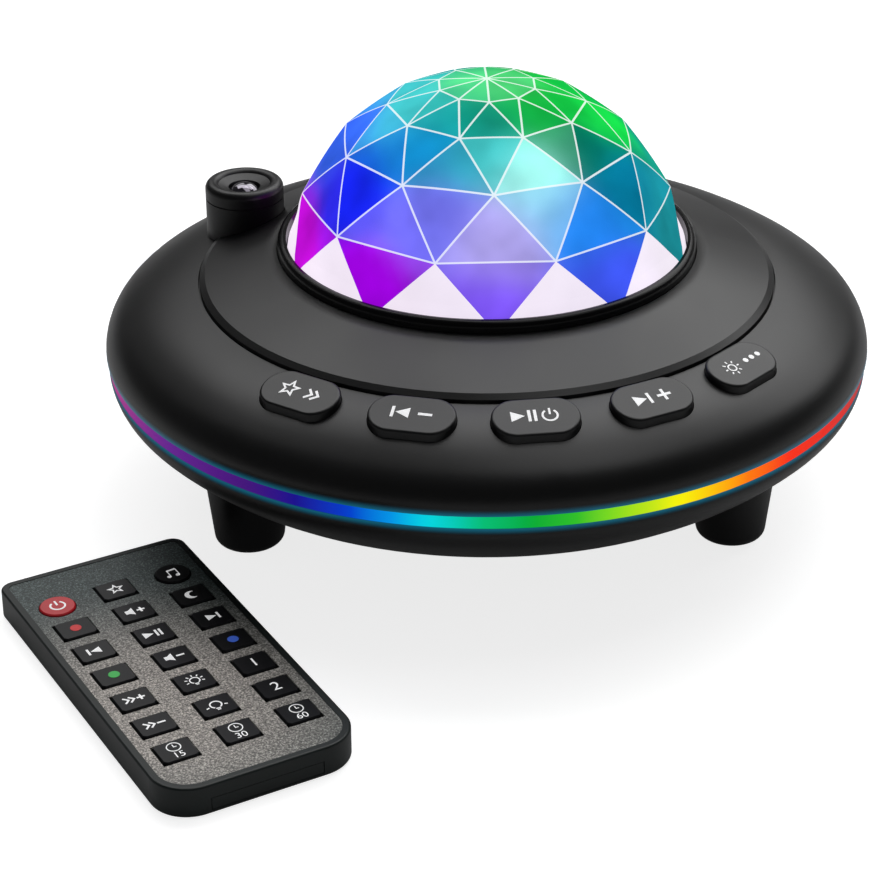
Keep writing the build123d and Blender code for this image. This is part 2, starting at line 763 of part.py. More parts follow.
# ------------------------------------------------------------ light engine under the dome
with BuildPart() as heat_sink:
    with BuildSketch(Plane.XY.offset(deck_top_z)):
        Circle(sink_r)
        Circle(axle_r + run_gap, mode=Mode.SUBTRACT)
    extrude(amount=sink_h)
    with BuildSketch(Plane.XY.offset(deck_top_z)):
        with GridLocations(0, fin_pitch, 1, fin_count):
            Rectangle(2 * sink_r, fin_gap)
    extrude(amount=sink_h - sink_base_t, mode=Mode.SUBTRACT)
heat_sink.part.label = "heat_sink"
export_step(heat_sink.part, "parts/heat_sink.step")

led_top_z = led_board_z + led_board_t
with BuildPart() as led_board:
    with BuildSketch(Plane.XY.offset(led_board_z)):
        Circle(sink_r - board_edge)
        Circle(axle_r + run_gap, mode=Mode.SUBTRACT)
    extrude(amount=led_board_t)
    with BuildSketch(Plane.XY.offset(led_top_z)):
        with PolarLocations(led_ring_r, led_count):
            Rectangle(led_w, led_w)
    extrude(amount=led_t)
    with BuildSketch(Plane.XY.offset(led_top_z + led_t)):
        with PolarLocations(led_ring_r, led_count):
            Circle(0.4 * led_w)
    extrude(amount=led_t)
led_board.part.label = "led_board"
export_step(led_board.part, "parts/led_board.step")

with BuildPart() as ripple_axle:
    wheel_top_z = wheel_z + wheel_t + seat_gap
    with BuildSketch(Plane.XY.offset(led_board_z - sink_base_t)):
        Circle(axle_r)
    extrude(amount=wheel_top_z - led_board_z + sink_base_t)
    # washers below and above the disc
    with BuildSketch(Plane.XY.offset(led_top_z)):
        Circle(hub_r - 1)
    extrude(amount=wheel_z - led_top_z - seat_gap)
    with BuildSketch(Plane.XY.offset(wheel_top_z)):
        Circle(hub_r - 1)
    extrude(amount=wheel_web_t)
ripple_axle.part.label = "ripple_axle"
export_step(ripple_axle.part, "parts/ripple_axle.step")

mesh_angle = math.radians(pinion_azimuth - 90)
with BuildPart() as ripple_disc:
    with BuildSketch(Plane.XY.offset(wheel_z)):
        with BuildLine():
            Polyline(*gear_outline(wheel_teeth, mesh_angle), close=True)
        make_face()
        Circle(wheel_pitch_r - wheel_rim, mode=Mode.SUBTRACT)
        Circle(hub_r)
    extrude(amount=wheel_t)
    with BuildSketch(Plane.XY.offset(wheel_z + wheel_t / 2)):
        Circle(wheel_pitch_r - wheel_rim)
    extrude(amount=wheel_web_t / 2, both=True)
    with BuildSketch(Plane.XY.offset(wheel_z)):
        Circle(axle_r + run_gap)
    extrude(amount=wheel_t, mode=Mode.SUBTRACT)
ripple_disc.part.label = "ripple_disc"
export_step(ripple_disc.part, "parts/ripple_disc.step")

with BuildPart() as ripple_motor:
    with BuildSketch(Plane.XY.offset(deck_z - motor_h)):
        with Locations(pinion_point):
            Circle(ripple_motor_r)
    extrude(amount=motor_h)
    with BuildSketch(Plane.XY.offset(deck_z - shaft_h - slide_gap)):
        with Locations(pinion_point):
            Circle(shaft_r + run_gap)
    extrude(amount=shaft_h + slide_gap, mode=Mode.SUBTRACT)
ripple_motor.part.label = "ripple_motor"
export_step(ripple_motor.part, "parts/ripple_motor.step")

with BuildPart() as ripple_pinion:
    pinion_phase = mesh_angle + math.pi + math.pi / pinion_teeth
    with BuildSketch(level_plane(pinion_point, wheel_z - slide_gap)):
        with BuildLine():
            Polyline(*gear_outline(pinion_teeth, pinion_phase), close=True)
        make_face()
    extrude(amount=wheel_t + 2 * slide_gap)
    with BuildSketch(Plane.XY.offset(deck_z - shaft_h)):
        with Locations(pinion_point):
            Circle(shaft_r)
    extrude(amount=wheel_z - deck_z + shaft_h)
ripple_pinion.part.label = "ripple_pinion"
export_step(ripple_pinion.part, "parts/ripple_pinion.step")

# ------------------------------------------------------------ star projector under the turret
with BuildPart() as laser_module:
    with BuildSketch(Plane.XY.offset(deck_z + laser_rise - laser_h)):
        with Locations(turret_point):
            Circle(laser_r)
    extrude(amount=laser_h)
    with BuildSketch(Plane.XY.offset(deck_z + laser_rise)):
        with Locations(turret_point):
            Circle(laser_r - 1)
    extrude(amount=laser_mouth_h)
laser_module.part.label = "laser_module"
export_step(laser_module.part, "parts/laser_module.step")

with BuildPart() as star_motor:
    with BuildSketch(Plane.XY.offset(deck_z - motor_h)):
        with Locations(star_point):
            Circle(star_motor_r)
    extrude(amount=motor_h)
    with BuildSketch(Plane.XY.offset(deck_z - shaft_h - slide_gap)):
        with Locations(star_point):
            Circle(shaft_r + run_gap)
    extrude(amount=shaft_h + slide_gap, mode=Mode.SUBTRACT)
star_motor.part.label = "star_motor"
export_step(star_motor.part, "parts/star_motor.step")

with BuildPart() as star_disc:
    with BuildSketch(Plane.XY.offset(star_disc_z)):
        with Locations(star_point):
            Circle(star_disc_r)
    extrude(amount=star_disc_t)
    with BuildSketch(Plane.XY.offset(star_disc_z - star_hub_r)):
        with Locations(star_point):
            Circle(star_hub_r)
    extrude(amount=2 * star_hub_r)
    with BuildSketch(Plane.XY.offset(deck_z - shaft_h)):
        with Locations(star_point):
            Circle(shaft_r)
    extrude(amount=star_disc_z - deck_z + shaft_h)
star_disc.part.label = "star_disc"
export_step(star_disc.part, "parts/star_disc.step")

# ------------------------------------------------------------ main board, power inlet, speaker
with BuildPart() as main_board:
    pcb_back_y = pcb_y + pcb_d / 2
    tongue_y = socket_mouth_y - 0.8 * socket_d
    with BuildSketch(Plane.XY.offset(pcb_z)):
        with Locations((0, pcb_y)):
            RectangleRounded(pcb_w, pcb_d, pcb_peg_r)
        with Locations((0, (pcb_y + tongue_y) / 2)):
            Rectangle(2 * socket_w - 2, tongue_y - pcb_y)
        with Locations(*leg_points):
            Circle(post_r + board_edge, mode=Mode.SUBTRACT)
    extrude(amount=board_t)
    # controller, amplifier and driver, then two capacitors
    with BuildSketch(Plane.XY.offset(pcb_z + board_t)):
        with Locations((-pcb_w / 4, pcb_y)):
            Rectangle(controller_w, controller_w)
        with Locations((pcb_w / 4, pcb_y - amplifier_d / 4)):
            Rectangle(amplifier_w, amplifier_d)
        with Locations((0, pcb_y - pcb_d / 4)):
            Rectangle(driver_w, driver_d)
    extrude(amount=chip_t)
    with BuildSketch(Plane.XY.offset(pcb_z + board_t)):
        with Locations((-pcb_w / 3, pcb_back_y - 2 * capacitor_r), (-pcb_w * 5 / 12, pcb_y + capacitor_r)):
            Circle(capacitor_r)
    extrude(amount=capacitor_h)
main_board.part.label = "main_board"
export_step(main_board.part, "parts/main_board.step")

with BuildPart() as power_socket:
    with BuildSketch(Plane.XZ.offset(-socket_mouth_y)):
        with Locations((0, socket_z)):
            SlotOverall(socket_w, socket_h)
    extrude(amount=socket_d)
    with BuildSketch(Plane.XZ.offset(-socket_mouth_y)):
        with Locations((0, socket_z)):
            SlotOverall(socket_w - 2 * socket_wall, socket_h - 2 * socket_wall)
            Rectangle(socket_w - socket_h, socket_tongue_t, mode=Mode.SUBTRACT)
    extrude(amount=socket_depth, mode=Mode.SUBTRACT)
power_socket.part.label = "power_socket"
export_step(power_socket.part, "parts/power_socket.step")

with BuildPart() as speaker:
    basket_z = floor_in_z + speaker_basket_h
    with BuildSketch(Plane.XZ):
        with BuildLine():
            Polyline(
                (speaker_r, floor_in_z),
                (speaker_r, floor_in_z + board_t),
                (speaker_r - speaker_flange_w, floor_in_z + board_t),
                (speaker_throat_r, basket_z),
                (speaker_magnet_r, basket_z),
                (speaker_magnet_r, floor_in_z + speaker_h),
                (0, floor_in_z + speaker_h),
                (0, floor_in_z + speaker_cap_h),
                (speaker_cap_r, floor_in_z + speaker_cone_h),
                (speaker_cone_r, floor_in_z),
                close=True,
            )
        make_face()
    revolve(axis=Axis.Z)
speaker.part.label = "speaker"
export_step(speaker.part, "parts/speaker.step")

# ------------------------------------------------------------ remote control
remote_angle = math.radians(remote_turn)
remote_point = ring_point(saucer_r + remote_away, remote_azimuth)
remote = Plane(remote_point, (math.cos(remote_angle), math.sin(remote_angle), 0), (0, 0, 1))
face_z = remote_h - plate_drop
deck_under_z = face_z - remote_deck_t
tray_z = remote_floor_t + seat_gap
remote_board_z = tray_z + cell_t + slide_gap
key_foot_z = remote_board_z + remote_board_t + key_travel + run_gap
tray_end_y = -remote_l / 2
cell_y = tray_end_y + tray_d / 2 + cell_set


def card_outline(inset):
    """The card's outline, smaller all round by the inset."""
    half_w = remote_w / 2 - inset
    half_l = remote_l / 2 - inset
    top = max(remote_top_round - inset, key_lip_t)
    low = max(remote_bottom_round - inset, key_lip_t)
    FilletPolyline(
        (half_w, half_l),
        (half_w, -half_l),
        (-half_w, -half_l),
        (-half_w, half_l),
        radius=[top, low, low, top],
        close=True,
    )


key_spots = [
    ((column - 1) * key_pitch_x, remote_l / 2 - key_first - row * key_pitch_y)
    for row in range(key_rows)
    for column in range(key_columns)
]
key_names = [
    "key_power", "key_star", "key_sound",
    "key_red", "key_volume_up", "key_moon",
    "key_previous", "key_play", "key_next",
    "key_green", "key_volume_down", "key_blue",
    "key_speed_up", "key_bright", "key_mode_1",
    "key_speed_down", "key_dim", "key_mode_2",
    "key_timer_15", "key_timer_30", "key_timer_60",
]
round_keys = ("key_power", "key_sound")


def key_shape(name, spot, grow, mode=Mode.ADD):
    """A key's outline, larger all round by grow."""
    with Locations(spot):
        if name in round_keys:
            Circle(key_w / 2 + grow, mode=mode)
        else:
            Rectangle(key_w + 2 * grow, key_l + 2 * grow, mode=mode)


with BuildPart() as remote_back_case:
    with BuildSketch(remote):
        with BuildLine():
            card_outline(0)
        make_face()
    extrude(amount=remote_back_h)
    fillet(remote_back_case.edges().group_by(Axis.Z)[0], remote_back_round)
    with BuildSketch(remote.offset(remote_floor_t)):
        with BuildLine():
            card_outline(remote_wall)
        make_face()
    extrude(amount=remote_back_h, mode=Mode.SUBTRACT)
    # slot for the battery tray
    with BuildSketch(remote.offset(tray_z - slide_gap)):
        with Locations((0, tray_end_y)):
            Rectangle(tray_w + 2 * slide_gap, 4 * remote_wall)
    extrude(amount=cell_t + 2 * slide_gap, mode=Mode.SUBTRACT)
remote_back_case.part.label = "remote_back_case"
export_step(remote_back_case.part, "parts/remote_back_case.step")

with BuildPart() as remote_front_case:
    with BuildSketch(remote.offset(remote_back_h)):
        with BuildLine():
            card_outline(0)
        make_face()
    extrude(amount=remote_h - remote_back_h)
    fillet(remote_front_case.edges().group_by(Axis.Z)[-1], remote_front_round)
    with BuildSketch(remote.offset(remote_back_h)):
        with BuildLine():
            card_outline(remote_wall)
        make_face()
    extrude(amount=deck_under_z - remote_back_h, mode=Mode.SUBTRACT)
    with BuildSketch(remote.offset(face_z)):
        with BuildLine():
            card_outline(remote_rim)
        make_face()
    extrude(amount=plate_drop, mode=Mode.SUBTRACT)
    with BuildSketch(remote.offset(deck_under_z)):
        for name, spot in zip(key_names, key_spots):
            key_shape(name, spot, key_gap)
    extrude(amount=remote_deck_t, mode=Mode.SUBTRACT)
remote_front_case.part.label = "remote_front_case"
export_step(remote_front_case.part, "parts/remote_front_case.step")

with BuildPart() as remote_face_plate:
    with BuildSketch(remote.offset(face_z)):
        with BuildLine():
            card_outline(remote_rim + run_gap)
        make_face()
        for name, spot in zip(key_names, key_spots):
            key_shape(name, spot, key_gap, mode=Mode.SUBTRACT)
    extrude(amount=plate_t)
remote_face_plate.part.label = "remote_face_plate"
export_step(remote_face_plate.part, "parts/remote_face_plate.step")

with BuildPart() as remote_board:
    with BuildSketch(remote.offset(remote_board_z)):
        with BuildLine():
            card_outline(remote_wall + seat_gap)
        make_face()
    extrude(amount=remote_board_t)
remote_board.part.label = "remote_board"
export_step(remote_board.part, "parts/remote_board.step")

for name, spot in zip(key_names, key_spots):
    with BuildPart() as key:
        with BuildSketch(remote.offset(key_foot_z)):
            key_shape(name, spot, 0)
        extrude(amount=remote_h + key_proud - key_foot_z)
        if name not in round_keys:
            chamfer(key.edges().filter_by(Axis.Z), key_corner)
        chamfer(key.faces().sort_by(Axis.Z)[-1].edges(), key_bevel)
        with BuildSketch(remote.offset(key_foot_z)):
            key_shape(name, spot, key_lip)
        extrude(amount=key_lip_t)
    key.part.label = name
    export_step(key.part, f"parts/{name}.step")

with BuildPart() as remote_battery_tray:
    with BuildSketch(remote.offset(tray_z)):
        with Locations((0, tray_end_y + tray_d / 2)):
            Rectangle(tray_w, tray_d)
        with Locations((0, cell_y)):
            Circle(cell_r + slide_gap, mode=Mode.SUBTRACT)
    extrude(amount=cell_t)
remote_battery_tray.part.label = "remote_battery_tray"
export_step(remote_battery_tray.part, "parts/remote_battery_tray.step")

with BuildPart() as remote_cell:
    with BuildSketch(remote.offset(tray_z)):
        with Locations((0, cell_y)):
            Circle(cell_r)
    extrude(amount=cell_t)
remote_cell.part.label = "remote_cell"
export_step(remote_cell.part, "parts/remote_cell.step")

with BuildPart() as remote_led:
    with BuildSketch(remote.offset(remote_board_z - cell_t)):
        with Locations((0, remote_l / 2 - remote_wall - seat_gap - sender_l / 2)):
            Rectangle(sender_w, sender_l)
    extrude(amount=cell_t)
remote_led.part.label = "remote_led"
export_step(remote_led.part, "parts/remote_led.step")
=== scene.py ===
import json
import math
import random

import bmesh
import bpy
from mathutils import Matrix, Vector


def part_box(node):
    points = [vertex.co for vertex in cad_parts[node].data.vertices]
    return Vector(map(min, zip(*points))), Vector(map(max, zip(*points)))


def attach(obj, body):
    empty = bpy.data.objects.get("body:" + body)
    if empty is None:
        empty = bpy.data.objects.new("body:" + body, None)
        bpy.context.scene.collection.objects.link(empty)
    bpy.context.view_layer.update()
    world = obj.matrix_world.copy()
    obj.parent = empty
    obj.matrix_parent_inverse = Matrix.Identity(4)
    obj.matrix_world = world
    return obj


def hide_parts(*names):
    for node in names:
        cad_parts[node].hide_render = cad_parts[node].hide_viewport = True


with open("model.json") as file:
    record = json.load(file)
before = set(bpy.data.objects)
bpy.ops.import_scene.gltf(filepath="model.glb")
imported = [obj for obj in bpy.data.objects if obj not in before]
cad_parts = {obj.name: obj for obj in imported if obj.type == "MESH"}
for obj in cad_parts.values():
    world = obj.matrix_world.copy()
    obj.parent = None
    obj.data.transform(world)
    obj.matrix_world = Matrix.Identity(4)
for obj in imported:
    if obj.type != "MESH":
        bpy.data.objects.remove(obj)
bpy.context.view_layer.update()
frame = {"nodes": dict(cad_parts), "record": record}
MM = 0.001

# ------------------------------------------------------------ places, in millimetres and degrees
CAMERA_AZIMUTH = -8.1  # round the saucer's axis from -Y, positive towards +X
CAMERA_RISE = 25.72
CAMERA_DISTANCE = 600.0
CAMERA_TARGET_Z = 38.5
LENS = 111.8
SENSOR_WIDTH = 36.0
SHIFT_X = -0.0595
SHIFT_Y = -0.1343

DOME_R = 44.0
DOME_CENTRE_Z = 51.2
DOME_BASE_Z = 56.2
DOME_ROWS = (24.5, 43.8, 61.0, 76.0)  # latitude of each row of corners
DOME_TURN = -23.4
FACETS_ROUND = 10
SEAM_W = 0.44
FACET_STEPS = 8  # rows of small faces in each facet
LENS_STEPS = 12  # rings of faces on the star projector's lens
LENS_SIDES = 48

BUTTON_RING_R = 69.0
BUTTON_FACE_Z = 50.09
BUTTON_TILT = 17.1
BUTTON_PITCH = 20.5
REMOTE_TURN = 21.9

# ------------------------------------------------------------ sizes in the materials, in metres
GRAIN_DEPTH = 0.00008
SPECK_DEPTH = 0.00012
# off the light ring's middle: the glow painted on the shells beside it is full up to the first and gone at
# the second
RING_GLOW_PAINT_FROM, RING_GLOW_PAINT_TO = 0.0010, 0.0030
# two distances from the saucer's axis, and how far the shading is rounded over edges at each
CROWN_EDGE = (0.0755, 0.0785, 0.0, 0.0045)
COLLAR_EDGE = (0.046, 0.0535, 0.0065, 0.0)
# the middle of a painted sheen on the remote's foil, in metres, and the distances over which it fades
FOIL_SHEEN_MIDDLE = (-0.0756, -0.0953, 0.0065)
FOIL_SHEEN_FADE = (0.01, 0.05)  # from the foil's middle, where the painted sheen is lightest, to where it has faded out
# shares of the light ring's half height: lit in full up to the first and dim from the second
RING_LIT, RING_DIM = 0.87, 0.99
LIT_BASE = 0.25  # level of a lit plastic's own colour, under its light


# ------------------------------------------------------------ small helpers
def linear(red, green, blue):
    """An sRGB colour of 0 to 255 as the linear colour that the nodes take."""
    def one(value):
        value = value / 255
        return value / 12.92 if value <= 0.04045 else ((value + 0.055) / 1.055) ** 2.4
    return (one(red), one(green), one(blue))


def ring_vector(radius, azimuth, z=0.0):
    """A place round the saucer's axis."""
    angle = math.radians(azimuth)
    return Vector((radius * math.sin(angle), -radius * math.cos(angle), z))


def direction(azimuth, rise):
    """A vector of length 1 towards an azimuth and a rise above the horizon."""
    return ring_vector(math.cos(math.radians(rise)), azimuth, math.sin(math.radians(rise)))


def new_object(name, mesh_builder, material, body, smooth=True):
    """Turn a bmesh into an object, in metres, that rides on a body."""
    mesh = bpy.data.meshes.new(name)
    mesh_builder.to_mesh(mesh)
    mesh_builder.free()
    mesh.transform(Matrix.Scale(MM, 4))
    thing = bpy.data.objects.new(name, mesh)
    bpy.context.scene.collection.objects.link(thing)
    for polygon in mesh.polygons:
        polygon.use_smooth = smooth
    mesh.materials.append(material)
    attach(thing, body)
    return thing


# ------------------------------------------------------------ materials
def new_material(name):
    material = bpy.data.materials.new(name)
    material.use_nodes = True
    shader = material.node_tree.nodes["Principled BSDF"]
    return material, material.node_tree, shader


def add_node(tree, kind, **inputs):
    node = tree.nodes.new(kind)
    for key, value in inputs.items():
        node.inputs[key.replace("_", " ")].default_value = value
    return node


def maths(tree, operation, *values):
    """The answer of a maths node; each value is a number or a socket."""
    node = tree.nodes.new("ShaderNodeMath")
    node.operation = operation
    for socket, value in zip(node.inputs, values):
        if isinstance(value, float):
            socket.default_value = value
        else:
            tree.links.new(value, socket)
    return node.outputs["Value"]


def scaled(tree, colour, level):
    """A colour times a level; each is a value or a socket."""
    node = tree.nodes.new("ShaderNodeVectorMath")
    node.operation = "SCALE"
    for socket, value in ((node.inputs[0], colour), (node.inputs["Scale"], level)):
        if isinstance(value, (float, tuple)):
            socket.default_value = value
        else:
            tree.links.new(value, socket)
    return node.outputs["Vector"]


def ranged(tree, source, start, end, first, last, smooth=False):
    """Goes from first to last as the source goes from start to end."""
    node = add_node(tree, "ShaderNodeMapRange", From_Min=start, From_Max=end, To_Min=first, To_Max=last)
    if smooth:
        node.interpolation_type = "SMOOTHSTEP"
    tree.links.new(source, node.inputs["Value"])
    return node.outputs["Result"]


def object_place(tree):
    """A point's place in the object's own frame, which at rest is the model's frame."""
    return tree.nodes.new("ShaderNodeTexCoord").outputs["Object"]


def object_noise(tree, scale, detail=2.0, roughness=0.5):
    """A noise texture in object space; scale is in features per metre."""
    noise = add_node(tree, "ShaderNodeTexNoise", Scale=scale, Detail=detail, Roughness=roughness)
    tree.links.new(object_place(tree), noise.inputs["Vector"])
    return noise.outputs["Fac"]


def object_parts(tree):
    """The X, Y and Z of a point in object space, as sockets."""
    parts = tree.nodes.new("ShaderNodeSeparateXYZ")
    tree.links.new(object_place(tree), parts.inputs["Vector"])
    return parts.outputs


def vector_maths(tree, operation, first, second=None):
    """A vector maths node on a socket and, where it takes two, a plain vector."""
    node = tree.nodes.new("ShaderNodeVectorMath")
    node.operation = operation
    tree.links.new(first, node.inputs[0])
    if second is not None:
        node.inputs[1].default_value = second
    return node


def off_ring(tree):
    """How far a point lies above or below the light ring's middle."""
    low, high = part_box("light_ring")
    height = maths(tree, "SUBTRACT", object_parts(tree)["Z"], (low.z + high.z) / 2)
    return maths(tree, "ABSOLUTE", height)


def ramp(tree, source, stops):
    """A colour ramp fed by source; stops are (position, linear colour)."""
    node = tree.nodes.new("ShaderNodeValToRGB")
    node.color_ramp.elements.remove(node.color_ramp.elements[1])
    for index, (position, colour) in enumerate(stops):
        element = node.color_ramp.elements[0] if index == 0 else node.color_ramp.elements.new(position)
        element.position = position
        element.color = (*colour, 1)
    tree.links.new(source, node.inputs["Fac"])
    return node.outputs["Color"]


def times(colour, level):
    """A plain colour made darker or lighter."""
    return tuple(level * part for part in colour)


def uneven_gloss(tree, shader, noise, roughness, spread):
    """Roughness that wanders with a noise."""
    wander = ranged(tree, noise, 0.0, 1.0, roughness - spread, roughness + spread)
    tree.links.new(wander, shader.inputs["Roughness"])


def rounded_normal(tree, near, far, reach_near, reach_far):
    """A normal rounded over edges; its reach changes between two distances from the saucer's axis."""
    level = vector_maths(tree, "MULTIPLY", object_place(tree), (1, 1, 0))
    off_axis = vector_maths(tree, "LENGTH", level.outputs["Vector"])
    reach = ranged(tree, off_axis.outputs["Value"], near, far, reach_near, reach_far)
    rounded = tree.nodes.new("ShaderNodeBevel")
    rounded.samples = 8
    tree.links.new(reach, rounded.inputs["Radius"])
    return rounded.outputs["Normal"]


def bump(tree, shader, height, strength, distance, normal=None):
    node = add_node(tree, "ShaderNodeBump", Strength=strength, Distance=distance)
    tree.links.new(height, node.inputs["Height"])
    if normal is not None:
        tree.links.new(normal, node.inputs["Normal"])
    tree.links.new(node.outputs["Normal"], shader.inputs["Normal"])


def plastic(name, colour, roughness, grain=2600.0, grain_strength=0.12, specular=0.5, edge=None):
    """Moulded plastic: a fine spark-eroded grain and slightly uneven gloss."""
    material, tree, shader = new_material(name)
    shader.inputs["Specular IOR Level"].default_value = specular
    blotch = object_noise(tree, 45.0, 3.0)
    tone = ramp(tree, blotch, [(0.3, times(colour, 0.86)), (0.7, times(colour, 1.14))])
    tree.links.new(tone, shader.inputs["Base Color"])
    uneven_gloss(tree, shader, blotch, roughness, 0.06)
    normal = rounded_normal(tree, *edge) if edge else None
    bump(tree, shader, object_noise(tree, grain, 3.0), grain_strength, GRAIN_DEPTH, normal)
    return material


def coated_glass(name):
    """Dark lens glass under a violet anti-reflection coating, with faint dust."""
    material, tree, shader = new_material(name)
    dust = object_noise(tree, 700.0, 3.0)
    tone = ramp(tree, dust, [(0.35, linear(5, 5, 9)), (0.7, linear(13, 10, 20))])
    tree.links.new(tone, shader.inputs["Base Color"])
    uneven_gloss(tree, shader, dust, 0.06, 0.03)
    shader.inputs["Specular IOR Level"].default_value = 0.9
    shader.inputs["Specular Tint"].default_value = (0.82, 0.66, 1.0, 1)
    shader.inputs["Coat Weight"].default_value = 1.0
    shader.inputs["Coat IOR"].default_value = 1.8
    shader.inputs["Coat Roughness"].default_value = 0.03
    return material


def printed(name, colour, lit=0.0):
    """Screen-printed ink, slightly uneven; lit is the strength of a faint glow painted into the ink, as if
    it gave light.
    """
    material, tree, shader = new_material(name)
    tone = ramp(tree, object_noise(tree, 900.0, 3.0), [(0.25, times(colour, 0.9)), (0.75, colour)])
    tree.links.new(tone, shader.inputs["Base Color"])
    # the ink's tone is also used as the colour of its painted glow
    tree.links.new(tone, shader.inputs["Emission Color"])
    shader.inputs["Emission Strength"].default_value = lit
    shader.inputs["Roughness"].default_value = 0.45
    return material


def metal(name, colour, roughness):
    material, tree, shader = new_material(name)
    shader.inputs["Metallic"].default_value = 1.0
    noise = object_noise(tree, 300.0, 4.0)
    tone = ramp(tree, noise, [(0.3, times(colour, 0.85)), (0.7, colour)])
    tree.links.new(tone, shader.inputs["Base Color"])
    uneven_gloss(tree, shader, noise, roughness, 0.08)
    return material


def circuit(name):
    """Green solder mask with faint copper tracks."""
    material, tree, shader = new_material(name)
    tracks = add_node(tree, "ShaderNodeTexBrick", Scale=260.0, Mortar_Size=0.03)
    for socket, colour in (("Color1", (16, 92, 50)), ("Color2", (20, 104, 58)), ("Mortar", (60, 140, 80))):
        tracks.inputs[socket].default_value = (*linear(*colour), 1)
    tree.links.new(object_place(tree), tracks.inputs["Vector"])
    tree.links.new(tracks.outputs["Color"], shader.inputs["Base Color"])
    shader.inputs["Roughness"].default_value = 0.35
    return material


def specks_and_painted_sheen(name):
    """The remote's foil: fine bright and dark specks, under a painted sheen that is light and warm round its
    middle and fades darker and greener away from it.
    """
    material, tree, shader = new_material(name)
    specks = object_noise(tree, 2500.0, 4.0, 0.8)
    mix = tree.nodes.new("ShaderNodeMixRGB")
    # Color1 is the specks lit by the painted sheen, Color2 their darker, greener tone away from it
    for socket, stops in (
        ("Color1", ((0.36, (60, 57, 54)), (0.50, (138, 132, 126)), (0.64, (232, 224, 214)))),
        ("Color2", ((0.36, (14, 24, 24)), (0.52, (44, 58, 57)), (0.68, (128, 144, 142)))),
    ):
        tone = ramp(tree, specks, [(position, linear(*colour)) for position, colour in stops])
        tree.links.new(tone, mix.inputs[socket])
    # painted sheen: fades out with the distance from the foil's middle
    away = vector_maths(tree, "DISTANCE", object_place(tree), FOIL_SHEEN_MIDDLE)
    fade = ranged(tree, away.outputs["Value"], *FOIL_SHEEN_FADE, 0.0, 1.0, smooth=True)
    tree.links.new(fade, mix.inputs["Fac"])
    tree.links.new(mix.outputs["Color"], shader.inputs["Base Color"])
    shader.inputs["Roughness"].default_value = 0.42
    bump(tree, shader, specks, 0.5, SPECK_DEPTH)
    return material


def lit_from_inside(tree, shader, colour, levels, specular):
    """Plastic that glows; the levels are those of the colour on it and of its light."""
    for socket, level in zip(("Base Color", "Emission Color"), levels):
        tree.links.new(scaled(tree, colour, level), shader.inputs[socket])
    shader.inputs["Emission Strength"].default_value = 1.0
    shader.inputs["Roughness"].default_value = 0.4
    shader.inputs["Specular IOR Level"].default_value = specular


RING_HUES = (
    # azimuth round the saucer, colour of the light ring there
    (-180, (40, 220, 90)), (-156, (235, 225, 20)), (-132, (255, 130, 0)), (-108, (235, 30, 40)),
    (-84, (170, 16, 120)), (-60, (98, 20, 140)), (-43, (66, 18, 122)), (-35, (24, 14, 142)),
    (-27, (0, 60, 206)), (-21, (0, 150, 232)), (-16, (0, 216, 228)), (-9, (0, 192, 120)),
    (-2, (0, 172, 52)), (4, (44, 192, 40)), (9, (126, 220, 30)), (15, (196, 232, 20)),
    (19, (250, 246, 0)), (25, (255, 190, 0)), (31, (255, 120, 0)), (39, (250, 44, 8)),
    (54, (218, 22, 8)), (70, (140, 12, 8)), (90, (110, 10, 60)), (112, (90, 20, 190)),
    (135, (20, 70, 230)), (158, (0, 190, 220)),
)


def rainbow(name):
    """The light ring: its colour runs round the saucer through the spectrum, and its edges are dim."""
    material, tree, shader = new_material(name)
    parts = object_parts(tree)
    angle = maths(tree, "ARCTAN2", parts["X"], maths(tree, "MULTIPLY", parts["Y"], -1.0))
    stops = [((azimuth + 180) / 360, linear(*colour)) for azimuth, colour in RING_HUES]
    stops.append((1.0, stops[0][1]))
    colours = ramp(tree, ranged(tree, angle, -math.pi, math.pi, 0.0, 1.0), stops)
    low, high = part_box("light_ring")
    half = (high.z - low.z) / 2
    edge = ranged(tree, off_ring(tree), RING_LIT * half, RING_DIM * half, 0.0, 1.0, smooth=True)
    mix = tree.nodes.new("ShaderNodeMixRGB")
    mix.inputs["Color2"].default_value = (*linear(16, 74, 92), 1)
    tree.links.new(edge, mix.inputs["Fac"])
    tree.links.new(colours, mix.inputs["Color1"])
    lit_from_inside(tree, shader, mix.outputs["Color"], (LIT_BASE, 0.92), 0.1)
    return material


def stored_light(name, depth, glow):
    """Lit plastic in the colour stored on the mesh; depth is that of the clouds in it."""
    material, tree, shader = new_material(name)
    stored = tree.nodes.new("ShaderNodeVertexColor")
    stored.layer_name = "glow"
    shade = ranged(tree, object_noise(tree, 76.0, 2.0, 0.45), 0.32, 0.68, 1 - depth, 1 + 2 * depth)
    levels = [maths(tree, "MULTIPLY", shade, level) for level in (LIT_BASE, glow)]
    lit_from_inside(tree, shader, stored.outputs["Color"], levels, 0.0)
    return material


def paint_ring_glow(material):
    """A faint glow painted on a shell beside the light ring, in the shell's emission, as if the ring's light
    fell on it.
    """
    tree = material.node_tree
    shader = tree.nodes["Principled BSDF"]
    fade = ranged(tree, off_ring(tree), RING_GLOW_PAINT_FROM, RING_GLOW_PAINT_TO, 1.0, 0.0, smooth=True)
    # painted glow: a teal light that fades off the ring, painted into the black shell's emission
    tree.links.new(scaled(tree, linear(14, 92, 116), fade), shader.inputs["Emission Color"])
    shader.inputs["Emission Strength"].default_value = 1.1


SATIN = {"colour": linear(13, 13, 14), "roughness": 0.38, "grain_strength": 0.05, "specular": 0.4}
black_shell = plastic("satin_black_shell", **SATIN)
panel_black = plastic("satin_black_panel", **SATIN, edge=COLLAR_EDGE)
